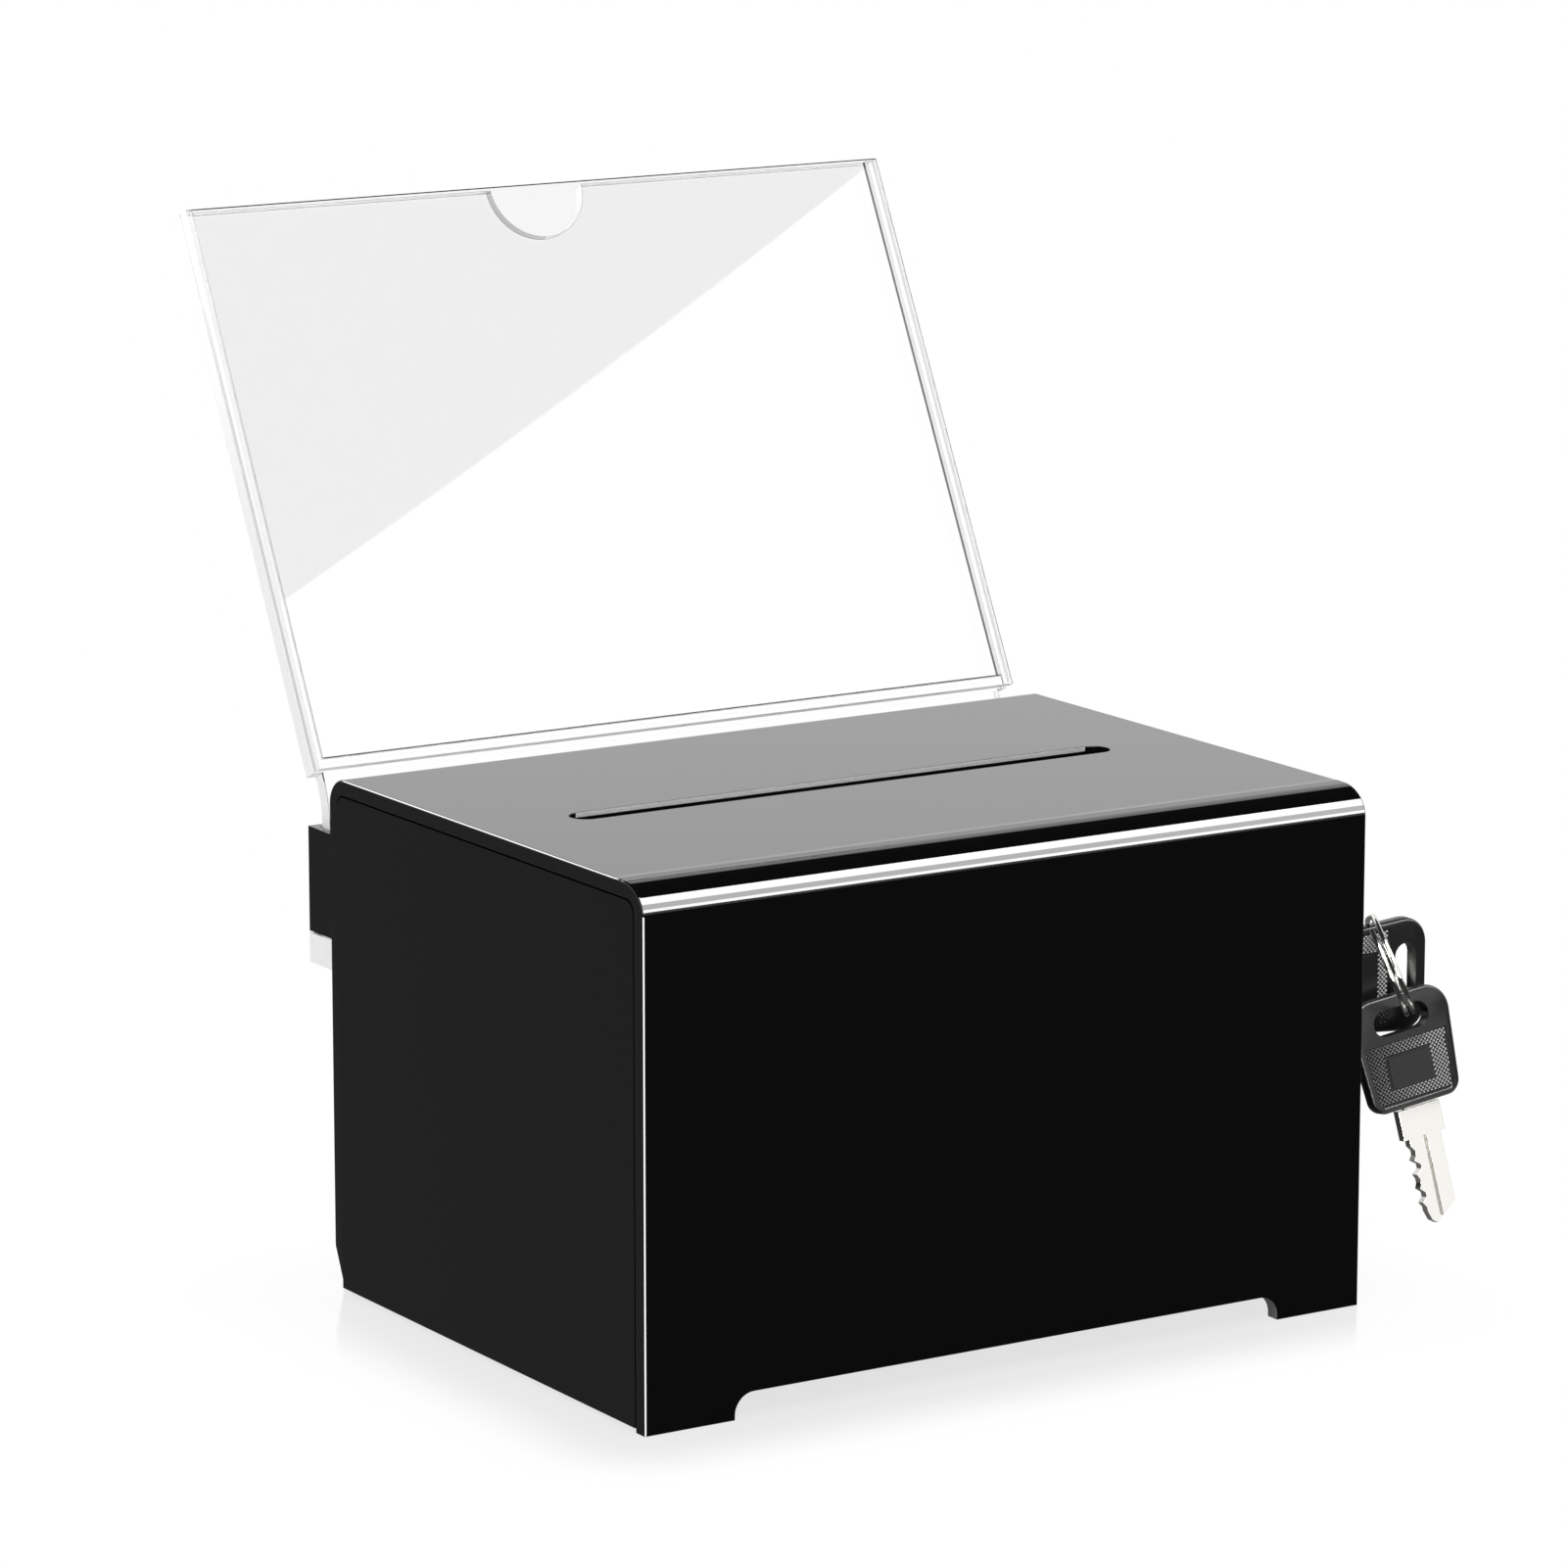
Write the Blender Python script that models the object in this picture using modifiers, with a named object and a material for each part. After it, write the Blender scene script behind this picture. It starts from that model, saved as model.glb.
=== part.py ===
"""Lockable acrylic box with a sign holder, a cam lock and two keys on a split ring.

Metres, +Z up. The front faces -Y and the hinged door is the right side, +X.
Every piece is placed in the box's own frame, whose zero is the middle of the box's
footprint on the floor. At the end that frame is moved so that the origin lies under
the middle of the whole part, keys and sign holder included.
"""

import math

import bmesh
import bpy
from mathutils import Matrix, Vector

# Box, from the photo and the usual inch sizes of such boxes
BOX_WIDTH = 0.15875
BOX_DEPTH = 0.1143
BOX_HEIGHT = 0.1005
SHEET = 0.003
BEND_RADIUS = 0.0055
GLUE_LINE = 0.0003

# Feet and floor
FOOT_WIDTH = 0.01905
FOOT_HEIGHT = 0.00485
FOOT_FILLET = 0.004
FLOOR_RISE = 0.0052
SIDE_PANEL_RISE = 0.0008
REAR_CORNER_TRIM_HEIGHT = 0.009
REAR_CORNER_TRIM_WIDTH = 0.0019

# Slot in the top
SLOT_LENGTH = 0.12
SLOT_WIDTH = 0.0065

# Door and its pins
DOOR_GAP = 0.00035
PIN_DIAMETER = 0.0016
PIN_LENGTH = 0.011
PIN_IN_SHEET = 0.0018
PIN_FIT = 0.0001
PIN_INBOARD = 0.002
STRIKE_THICKNESS = 0.0055

# Cam lock, along X through the door
LOCK_FROM_FRONT = 0.02145
LOCK_HEIGHT = 0.0573
LOCK_FACE_DIAMETER = 0.0165
LOCK_FACE_THICKNESS = 0.0015
LOCK_FACE_EDGE = 0.0005
BARREL_DIAMETER = 0.012
BARREL_LENGTH = 0.0175
BARREL_FLATS = 0.0106
PLUG_DIAMETER = 0.0094
PLUG_RECESS = 0.0002
LOCK_FIT = 0.0002
WASHER_DIAMETER = 0.0172
WASHER_THICKNESS = 0.0008
NUT_ACROSS_FLATS = 0.017
NUT_THICKNESS = 0.003
NUT_CHAMFER_SLOPE = math.radians(15)
TANG_SIZE = 0.005
CAM_REACH = 0.0165
CAM_HUB_RADIUS = 0.0056
CAM_TIP_WIDTH = 0.0075
CAM_THICKNESS = 0.0016
SCREW_HEAD_DIAMETER = 0.006
SCREW_HEAD_HEIGHT = 0.0018
SCREW_DIAMETER = 0.0026
SCREW_LENGTH = 0.0034

# Keys: two of one kind
BOW_LENGTH = 0.022
BOW_OUTER_WIDTH = 0.0232
BOW_INNER_WIDTH = 0.0197
BOW_THICKNESS = 0.0028
BOW_OUTER_FILLET = 0.0052
BOW_INNER_FILLET = 0.003
BOW_EDGE = 0.0006
BOW_BORDER = 0.0025
BOW_SLOT_WIDTH = 0.005
BOW_SLOT_LENGTH = 0.0126
BOW_RIM = 0.0013
BOW_PANEL_DEPTH = 0.0003
BOW_PLAQUE_LENGTH = 0.006
BOW_PLAQUE_WIDTH = 0.0095
BLADE_THICKNESS = 0.0019
SHOULDER_LENGTH = 0.0062
SHOULDER_WIDTH = 0.0095
BLADE_LENGTH = 0.0172
BLADE_WIDTH = 0.0072
BLADE_TIP = 0.0034
BLADE_GROOVE_WIDTH = 0.0012
BLADE_GROOVE_DEPTH = 0.0005
KEY_TANG_LENGTH = 0.003
KEY_TANG_WIDTH = 0.006
KEY_TANG_THICKNESS = 0.0011
KEYWAY_FIT = 0.0003
BIT_DEPTH = 0.0013
BIT_PITCH = 0.0028

# Split ring
RING_WIRE_DIAMETER = 0.001
RING_RADIUS = 0.0099
RING_COIL_PITCH = 0.00145
RING_EDGE_PLAY = 0.0009
RING_SLOT_PLAY = 0.0021
RING_HOOK_PLAY = 0.0013

# Holder bracket on the rear wall
BRACKET_PLATE = 0.0027
BRACKET_BELOW_TOP = 0.0319
BRACKET_HEIGHT = 0.0205
BRACKET_INSET = 0.00045
STOP_HEIGHT = 0.0058

# Sign holder
HOLDER_LEAN = math.radians(26.8)
HOLDER_LENGTH = 0.1132
HOLDER_BEND_RADIUS = 0.02
HOLDER_SHOULDER_RISE = 0.00065
TAB_STRAIGHT = 0.02025
TAB_INSET = 0.00195
POCKET_DEPTH = 0.0015
FRONT_PANE = 0.0015
SIDE_STRIP_WIDTH = 0.0024
BOTTOM_STRIP_WIDTH = 0.0021
NOTCH_RADIUS = 0.0104

# Shares, places along a piece and turns of the hanging key
SCREW_HEAD_EDGE_SHARE = 0.5
SCREW_HEAD_TOP_SHARE = 0.66
BLADE_NOSE_SHARE = 0.25
BLADE_NOSE_DROP_SHARE = 0.33
CAM_TIP_FILLET_SHARE = 0.35
BIT_DEPTH_SHARES = (0.55, 1.0, 0.35, 0.8, 0.5)
BIT_FLAT_SHARE = 0.3
RING_ON_BOW_SHARE = 0.42
RING_IN_SLOT_SHARE = 0.5
RING_TURN = math.radians(28)
RING_END_TURN = math.radians(118)
JOGGLE_TURN = math.radians(32)
KEY_2_SIDE_SHARE = 0.23
KEY_2_TILT = math.radians(9)
KEY_2_YAW = math.radians(-5)
KEY_2_PITCH = math.radians(-10)

# Making
OVERRUN = 0.002
ARC_STEP = math.radians(10)
ROUND_SIDES = 48
PIN_SIDES = 24
RING_SIDES_PER_TURN = 36
SMOOTH_ANGLE = math.radians(35)
MERGE_DISTANCE = 1e-6

# Places that follow from the sizes
HALF_WIDTH = BOX_WIDTH / 2
HALF_DEPTH = BOX_DEPTH / 2
INNER_DEPTH = HALF_DEPTH - SHEET
INNER_HEIGHT = BOX_HEIGHT - SHEET
FITTED_DEPTH = INNER_DEPTH - GLUE_LINE
FITTED_FILLET = BEND_RADIUS - SHEET
FLOOR_TOP = FLOOR_RISE + SHEET
HINGE_X = HALF_WIDTH - SHEET / 2
HINGE_Y = INNER_DEPTH - DOOR_GAP - SHEET / 2 - PIN_INBOARD
DOOR_BOTTOM = FLOOR_TOP + GLUE_LINE
DOOR_TOP = INNER_HEIGHT - GLUE_LINE
DOOR_FRONT = -FITTED_DEPTH
LOCK_Y = -HALF_DEPTH + LOCK_FROM_FRONT
LOCK_SEAT = HALF_WIDTH + GLUE_LINE
LOCK_FRONT = LOCK_SEAT + LOCK_FACE_THICKNESS
BARREL_END = LOCK_SEAT - BARREL_LENGTH
BARREL_HOLE = BARREL_DIAMETER + 2 * GLUE_LINE
DOOR_INSIDE = HALF_WIDTH - SHEET
WASHER_TOP = DOOR_INSIDE - GLUE_LINE
NUT_TOP = WASHER_TOP - WASHER_THICKNESS - GLUE_LINE
CAM_OUTER = BARREL_END - GLUE_LINE
CAM_INNER = CAM_OUTER - CAM_THICKNESS
TANG_END = CAM_INNER + GLUE_LINE
SCREW_SEAT = CAM_INNER - GLUE_LINE
KEY_1_X = LOCK_FRONT + GLUE_LINE + SHOULDER_LENGTH
BLADE_END = SHOULDER_LENGTH + BLADE_LENGTH
BRACKET_BOTTOM = BOX_HEIGHT - BRACKET_BELOW_TOP
BRACKET_FRONT = HALF_DEPTH + GLUE_LINE
TAB_FRONT = BRACKET_FRONT + BRACKET_PLATE + GLUE_LINE
TAB_REAR = TAB_FRONT + SHEET
OUTER_PLATE_FRONT = TAB_REAR + GLUE_LINE
BRACKET_REAR = OUTER_PLATE_FRONT + BRACKET_PLATE
BRACKET_HALF_WIDTH = HALF_WIDTH - BRACKET_INSET
TAB_HALF_WIDTH = HALF_WIDTH - TAB_INSET
HOLDER_THICKNESS = SHEET + POCKET_DEPTH + FRONT_PANE

# Colours (linear), roughness, metallic and transmission
BLACK_ACRYLIC = ((0.0045, 0.0045, 0.005), 0.06, 0.0, 0.0)
CLEAR_ACRYLIC = ((0.93, 0.95, 0.95), 0.04, 0.0, 1.0)
NICKEL = ((0.62, 0.61, 0.58), 0.24, 1.0, 0.0)
ZINC_STEEL = ((0.5, 0.51, 0.53), 0.34, 1.0, 0.0)
BLACK_MOULDING = ((0.012, 0.012, 0.013), 0.42, 0.0, 0.0)


def clear_scene():
    """Remove what the scene holds, so that a new run starts empty."""
    for item in list(bpy.data.objects):
        bpy.data.objects.remove(item, do_unlink=True)


def make_collection(name):
    collection = bpy.data.collections.new(name)
    bpy.context.scene.collection.children.link(collection)
    return collection


def make_material(name, finish):
    colour, roughness, metallic, transmission = finish
    made = bpy.data.materials.new(name)
    made.use_nodes = True
    shader = made.node_tree.nodes["Principled BSDF"]
    shader.inputs["Base Color"].default_value = (*colour, 1.0)
    shader.inputs["Roughness"].default_value = roughness
    shader.inputs["Metallic"].default_value = metallic
    shader.inputs["Transmission Weight"].default_value = transmission
    made.diffuse_color = (*colour, 1.0)
    made.roughness = roughness
    made.metallic = metallic
    return made


def make_empty(name, parent=None, location=(0, 0, 0), rotation=None):
    """An axis, which its pieces hang on."""
    axis = bpy.data.objects.new(name, None)
    parts.objects.link(axis)
    axis.parent = parent
    axis.matrix_basis = Matrix.Translation(location) @ (rotation or Matrix.Identity(4))
    axis.empty_display_size = BEND_RADIUS
    return axis


def add_object(name, mesh, finish, parent, place=None):
    made = bpy.data.objects.new(name, mesh)
    parts.objects.link(made)
    made.parent = parent
    made.matrix_basis = place or Matrix.Identity(4)
    made.data.materials.append(make_material(name, finish))
    return made


def add_cutter(name, mesh, parent, place=None):
    made = bpy.data.objects.new(name, mesh)
    cutters.objects.link(made)
    made.parent = parent
    made.matrix_basis = place or Matrix.Identity(4)
    made.hide_render = True
    made.display_type = "WIRE"
    return made


def boolean(target, tool, operation="DIFFERENCE"):
    step = target.modifiers.new(tool.name, "BOOLEAN")
    step.object = tool
    step.operation = operation
    step.solver = "EXACT"


def round_edges(target, width, segments=2, angle=SMOOTH_ANGLE):
    step = target.modifiers.new("Rounded edges", "BEVEL")
    step.width = width
    step.segments = segments
    step.limit_method = "ANGLE"
    step.angle_limit = angle


def shade_round(target):
    """Smooth shading on round faces, with the real edges kept sharp."""
    target.data.shade_smooth()
    target.data.set_sharp_from_angle(angle=SMOOTH_ANGLE)


def mesh_from(shape, name):
    mesh = bpy.data.meshes.new(name)
    shape.to_mesh(mesh)
    shape.free()
    return mesh


def block_mesh(name, low, high):
    """A box between two corners."""
    low = Vector(low)
    high = Vector(high)
    shape = bmesh.new()
    bmesh.ops.create_cube(shape, size=1)
    bmesh.ops.scale(shape, vec=high - low, verts=shape.verts)
    bmesh.ops.translate(shape, vec=(low + high) / 2, verts=shape.verts)
    return mesh_from(shape, name)


def rod_mesh(name, radius, low, high, sides=ROUND_SIDES):
    """A cylinder along its own Z from low to high."""
    shape = bmesh.new()
    bmesh.ops.create_cone(
        shape, cap_ends=True, segments=sides, radius1=radius, radius2=radius, depth=high - low
    )
    bmesh.ops.translate(shape, vec=(0, 0, (low + high) / 2), verts=shape.verts)
    return mesh_from(shape, name)


def arc(centre, radius, start, end):
    """Points of an arc, both ends included, in degrees of ARC_STEP or less."""
    steps = max(2, math.ceil(abs(end - start) / ARC_STEP - MERGE_DISTANCE))
    turns = [start + (end - start) * step / steps for step in range(steps + 1)]
    return [
        (centre[0] + radius * math.cos(turn), centre[1] + radius * math.sin(turn))
        for turn in turns
    ]


def rounded(corners):
    """A closed outline through corners given as (x, y, fillet radius), in order."""
    points = []
    for index, (x, y, radius) in enumerate(corners):
        here = Vector((x, y))
        if radius == 0:
            points.append((x, y))
            continue
        before = (Vector(corners[index - 1][:2]) - here).normalized()
        after = (Vector(corners[(index + 1) % len(corners)][:2]) - here).normalized()
        half = before.angle(after) / 2
        middle = here + (before + after).normalized() * (radius / math.sin(half))
        first = here + before * (radius / math.tan(half)) - middle
        last = here + after * (radius / math.tan(half)) - middle
        start = math.atan2(first.y, first.x)
        sweep = first.angle_signed(last)
        points += arc(middle, radius, start, start - sweep)
    return points


def outline_mesh(name, outline, thickness):
    """A flat outline in X and Y, filled and thickened both ways along Z."""
    curve = bpy.data.curves.new(name, "CURVE")
    curve.dimensions = "2D"
    curve.fill_mode = "BOTH"
    curve.extrude = thickness / 2
    spline = curve.splines.new("POLY")
    spline.points.add(len(outline) - 1)
    for point, (x, y) in zip(spline.points, outline):
        point.co = (x, y, 0, 1)
    spline.use_cyclic_u = True
    return mesh_of_curve(name, curve)


def mesh_of_curve(name, curve):
    """Turn a curve into a closed mesh, with its loose caps welded on."""
    holder = bpy.data.objects.new(name, curve)
    parts.objects.link(holder)
    bpy.context.view_layer.update()
    evaluated = holder.evaluated_get(bpy.context.evaluated_depsgraph_get())
    mesh = bpy.data.meshes.new_from_object(evaluated)
    bpy.data.objects.remove(holder, do_unlink=True)
    bpy.data.curves.remove(curve)
    shape = bmesh.new()
    shape.from_mesh(mesh)
    bmesh.ops.remove_doubles(shape, verts=shape.verts, dist=MERGE_DISTANCE)
    bmesh.ops.recalc_face_normals(shape, faces=shape.faces)
    shape.to_mesh(mesh)
    shape.free()
    return mesh


def chain_mesh(name, points, close=False):
    """A chain of edges through 3-D points."""
    shape = bmesh.new()
    verts = [shape.verts.new(point) for point in points]
    for first, second in zip(verts, verts[1:]):
        shape.edges.new((first, second))
    if close:
        shape.edges.new((verts[-1], verts[0]))
    return mesh_from(shape, name)


def sheet_mesh(name, profile, half_width):
    """An open sheet whose section in Y and Z runs along the whole width in X."""
    shape = bmesh.new()
    verts = [shape.verts.new((-half_width, y, z)) for y, z in profile]
    for first, second in zip(verts, verts[1:]):
        shape.edges.new((first, second))
    swept = bmesh.ops.extrude_edge_only(shape, edges=shape.edges[:])
    moved = [item for item in swept["geom"] if isinstance(item, bmesh.types.BMVert)]
    bmesh.ops.translate(shape, vec=(2 * half_width, 0, 0), verts=moved)
    return mesh_from(shape, name)


def thicken(target, thickness, side):
    step = target.modifiers.new("Sheet", "SOLIDIFY")
    step.thickness = thickness
    step.offset = side
    step.use_even_offset = True


def turned(name, profile, finish, parent, place, sides=ROUND_SIDES):
    """A turned piece: a closed profile of (radius, height) screwed about its own Z."""
    mesh = chain_mesh(name, [(radius, 0, height) for radius, height in profile], close=True)
    made = add_object(name, mesh, finish, parent, place)
    lathe(made, sides)
    return made


def lathe(target, sides):
    step = target.modifiers.new("Turned", "SCREW")
    step.axis = "Z"
    step.steps = sides
    step.render_steps = sides
    step.use_merge_vertices = True
    step.merge_threshold = MERGE_DISTANCE
    step.use_smooth_shade = True


# Turns that stand a piece made in X and Y, or along Z, in the box's frame
FACING_FRONT = Matrix.Rotation(math.radians(90), 4, "X")
FACING_RIGHT = Matrix.Rotation(math.radians(90), 4, "Z") @ FACING_FRONT
ALONG_X = Matrix.Rotation(math.radians(90), 4, "Y")


def at(x, y, z, turn=None):
    return Matrix.Translation((x, y, z)) @ (turn or Matrix.Identity(4))


def obround(length, width):
    """The outline of a slot with round ends, its length along X."""
    reach = (length - width) / 2
    right = arc((reach, 0), width / 2, -math.pi / 2, math.pi / 2)
    left = arc((-reach, 0), width / 2, math.pi / 2, 3 * math.pi / 2)
    return right + left


def make_wrap(frame):
    """Front, top and rear wall: one sheet bent twice, with its feet and slot cut out."""
    centre_y = HALF_DEPTH - BEND_RADIUS
    centre_z = BOX_HEIGHT - BEND_RADIUS
    profile = [(-HALF_DEPTH, 0)]
    profile += arc((-centre_y, centre_z), BEND_RADIUS, math.pi, math.pi / 2)
    profile += arc((centre_y, centre_z), BEND_RADIUS, math.pi / 2, 0)
    profile += [(HALF_DEPTH, 0)]
    mesh = sheet_mesh("wrap_shell", profile, HALF_WIDTH)
    wrap = add_object("wrap_shell", mesh, BLACK_ACRYLIC, frame)
    thicken(wrap, SHEET, -1)

    slot = outline_mesh("slot_cutter", obround(SLOT_LENGTH, SLOT_WIDTH), SHEET + 2 * OVERRUN)
    boolean(wrap, add_cutter("slot_cutter", slot, frame, at(0, 0, BOX_HEIGHT - SHEET / 2)))

    inner = HALF_WIDTH - FOOT_WIDTH
    gap = rounded([
        (inner, -OVERRUN, 0),
        (inner, FOOT_HEIGHT, FOOT_FILLET),
        (-inner, FOOT_HEIGHT, FOOT_FILLET),
        (-inner, -OVERRUN, 0),
    ])
    feet = outline_mesh("foot_cutter", gap, BOX_DEPTH + 2 * OVERRUN)
    boolean(wrap, add_cutter("foot_cutter", feet, frame, FACING_FRONT))

    slope = REAR_CORNER_TRIM_WIDTH / REAR_CORNER_TRIM_HEIGHT
    trim = [
        (HALF_WIDTH - REAR_CORNER_TRIM_WIDTH - OVERRUN * slope, -OVERRUN),
        (HALF_WIDTH + OVERRUN, -OVERRUN),
        (HALF_WIDTH + OVERRUN, REAR_CORNER_TRIM_HEIGHT + OVERRUN / slope),
    ]
    rear = HALF_DEPTH - SHEET / 2
    for side, name in ((1, "rear_corner_cutter_right"), (-1, "rear_corner_cutter_left")):
        corner = outline_mesh(name, [(side * x, z) for x, z in trim], SHEET + 2 * GLUE_LINE)
        boolean(wrap, add_cutter(name, corner, frame, at(0, rear, 0, FACING_FRONT)))

    bore = rod_mesh(
        "wrap_pin_cutter",
        PIN_DIAMETER / 2 + PIN_FIT,
        DOOR_TOP - OVERRUN,
        INNER_HEIGHT + PIN_IN_SHEET,
        PIN_SIDES,
    )
    boolean(wrap, add_cutter("wrap_pin_cutter", bore, frame, at(HINGE_X, HINGE_Y, 0)))
    shade_round(wrap)


def make_left_side(frame):
    """Flat panel glued inside the wrap, flush with its cut edge."""
    outline = rounded([
        (FITTED_DEPTH, SIDE_PANEL_RISE, 0),
        (FITTED_DEPTH, INNER_HEIGHT - GLUE_LINE, FITTED_FILLET),
        (-FITTED_DEPTH, INNER_HEIGHT - GLUE_LINE, FITTED_FILLET),
        (-FITTED_DEPTH, SIDE_PANEL_RISE, 0),
    ])
    mesh = outline_mesh("left_side_panel", outline, SHEET)
    place = at(-HALF_WIDTH + SHEET / 2, 0, 0, FACING_RIGHT)
    add_object("left_side_panel", mesh, BLACK_ACRYLIC, frame, place)


def make_floor(frame):
    """Floor of the box, above the foot cut-outs, drilled for the lower hinge pin."""
    low = (-HALF_WIDTH + SHEET + GLUE_LINE, -FITTED_DEPTH, FLOOR_RISE)
    high = (HALF_WIDTH, FITTED_DEPTH, FLOOR_TOP)
    mesh = block_mesh("bottom_panel", low, high)
    floor = add_object("bottom_panel", mesh, BLACK_ACRYLIC, frame)
    bore = rod_mesh(
        "floor_pin_cutter",
        PIN_DIAMETER / 2 + PIN_FIT,
        FLOOR_RISE - OVERRUN,
        FLOOR_TOP + OVERRUN,
        PIN_SIDES,
    )
    boolean(floor, add_cutter("floor_pin_cutter", bore, frame, at(HINGE_X, HINGE_Y, 0)))


def make_strike(frame):
    """Strip on edge inside the front wall: it stops the door and catches the cam."""
    inner = CAM_OUTER + GLUE_LINE
    low = (inner, -FITTED_DEPTH, FLOOR_TOP + GLUE_LINE)
    high = (DOOR_INSIDE - GLUE_LINE, -FITTED_DEPTH + STRIKE_THICKNESS, BOX_HEIGHT - BEND_RADIUS)
    add_object("strike_strip", block_mesh("strike_strip", low, high), BLACK_ACRYLIC, frame)


def make_door(hinge):
    """Right side: a panel with a half-round rear edge about the pins, and the lock's hole."""
    front = DOOR_FRONT - HINGE_Y
    half = SHEET / 2
    plan = [(half, front)] + arc((0, PIN_INBOARD), half, 0, math.pi) + [(-half, front)]
    mesh = outline_mesh("door", plan, DOOR_TOP - DOOR_BOTTOM)
    place = at(0, 0, (DOOR_TOP + DOOR_BOTTOM) / 2)
    door = add_object("door", mesh, BLACK_ACRYLIC, hinge, place)

    rear = PIN_INBOARD + half
    blank = rounded([
        (rear, DOOR_BOTTOM - OVERRUN, 0),
        (rear, DOOR_TOP, FITTED_FILLET),
        (front, DOOR_TOP, FITTED_FILLET),
        (front, DOOR_BOTTOM - OVERRUN, 0),
    ])
    trim = outline_mesh("door_corner_trim", blank, SHEET + 2 * OVERRUN)
    boolean(door, add_cutter("door_corner_trim", trim, hinge, FACING_RIGHT), "INTERSECT")

    hole = rod_mesh("door_lock_cutter", BARREL_HOLE / 2, -SHEET - OVERRUN, SHEET + OVERRUN)
    lock = at(0, LOCK_Y - HINGE_Y, LOCK_HEIGHT, ALONG_X)
    boolean(door, add_cutter("door_lock_cutter", hole, hinge, lock))

    depth = PIN_LENGTH - PIN_IN_SHEET
    radius = PIN_DIAMETER / 2 + PIN_FIT
    upper = rod_mesh("door_pin_cutter_top", radius, DOOR_TOP - depth, DOOR_TOP + OVERRUN, PIN_SIDES)
    boolean(door, add_cutter("door_pin_cutter_top", upper, hinge))
    lower = rod_mesh(
        "door_pin_cutter_bottom", radius, DOOR_BOTTOM - OVERRUN, DOOR_BOTTOM + depth, PIN_SIDES
    )
    boolean(door, add_cutter("door_pin_cutter_bottom", lower, hinge))
    shade_round(door)


def make_pins(hinge):
    """Two steel pins, one up into the top sheet and one through the floor."""
    top = INNER_HEIGHT + PIN_IN_SHEET - GLUE_LINE
    bottom = FLOOR_TOP - PIN_IN_SHEET
    for name, low, high in (
        ("hinge_pin_top", top - PIN_LENGTH, top),
        ("hinge_pin_bottom", bottom, bottom + PIN_LENGTH),
    ):
        mesh = rod_mesh(name, PIN_DIAMETER / 2, low, high, PIN_SIDES)
        pin = add_object(name, mesh, ZINC_STEEL, hinge)
        shade_round(pin)


def make_lock(axis):
    """Housing, washer and nut, which stay with the door. Heights run along X."""
    bore = PLUG_DIAMETER / 2 + LOCK_FIT
    face = LOCK_FACE_DIAMETER / 2
    barrel = BARREL_DIAMETER / 2
    housing = turned(
        "lock_housing",
        [
            (bore, LOCK_FRONT),
            (face - LOCK_FACE_EDGE, LOCK_FRONT),
            (face, LOCK_FRONT - LOCK_FACE_EDGE),
            (face, LOCK_SEAT),
            (barrel, LOCK_SEAT),
            (barrel, BARREL_END),
            (bore, BARREL_END),
        ],
        NICKEL, axis, ALONG_X,
    )
    for side, name in ((1, "barrel_flat_top"), (-1, "barrel_flat_bottom")):
        low = min(side * BARREL_FLATS / 2, side * BARREL_DIAMETER)
        high = max(side * BARREL_FLATS / 2, side * BARREL_DIAMETER)
        flat = block_mesh(
            name,
            (BARREL_END - OVERRUN, -BARREL_DIAMETER, low),
            (DOOR_INSIDE, BARREL_DIAMETER, high),
        )
        boolean(housing, add_cutter(name, flat, axis))

    hole = BARREL_HOLE / 2
    turned(
        "lock_washer",
        [
            (hole, WASHER_TOP),
            (WASHER_DIAMETER / 2, WASHER_TOP),
            (WASHER_DIAMETER / 2, WASHER_TOP - WASHER_THICKNESS),
            (hole, WASHER_TOP - WASHER_THICKNESS),
        ],
        ZINC_STEEL, axis, ALONG_X,
    )

    corner = NUT_ACROSS_FLATS / (2 * math.cos(math.pi / 6))
    low = NUT_TOP - NUT_THICKNESS
    mesh = rod_mesh("lock_nut", corner, low, NUT_TOP, 6)
    nut = add_object("lock_nut", mesh, NICKEL, axis, ALONG_X)
    outside = corner + OVERRUN
    fall = (outside - NUT_ACROSS_FLATS / 2) * math.tan(NUT_CHAMFER_SLOPE)
    blank = turned_cutter(
        "nut_chamfer",
        [
            (0, NUT_TOP + OVERRUN),
            (NUT_ACROSS_FLATS / 2, NUT_TOP + OVERRUN),
            (NUT_ACROSS_FLATS / 2, NUT_TOP),
            (outside, NUT_TOP - fall),
            (outside, low + fall),
            (NUT_ACROSS_FLATS / 2, low),
            (NUT_ACROSS_FLATS / 2, low - OVERRUN),
            (0, low - OVERRUN),
        ],
        axis,
    )
    boolean(nut, blank, "INTERSECT")
    threaded = rod_mesh("nut_hole_cutter", hole, low - OVERRUN, NUT_TOP + OVERRUN)
    boolean(nut, add_cutter("nut_hole_cutter", threaded, axis, ALONG_X))


def turned_cutter(name, profile, parent):
    mesh = chain_mesh(name, [(radius, 0, height) for radius, height in profile])
    tool = add_cutter(name, mesh, parent, ALONG_X)
    lathe(tool, ROUND_SIDES)
    return tool


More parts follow.
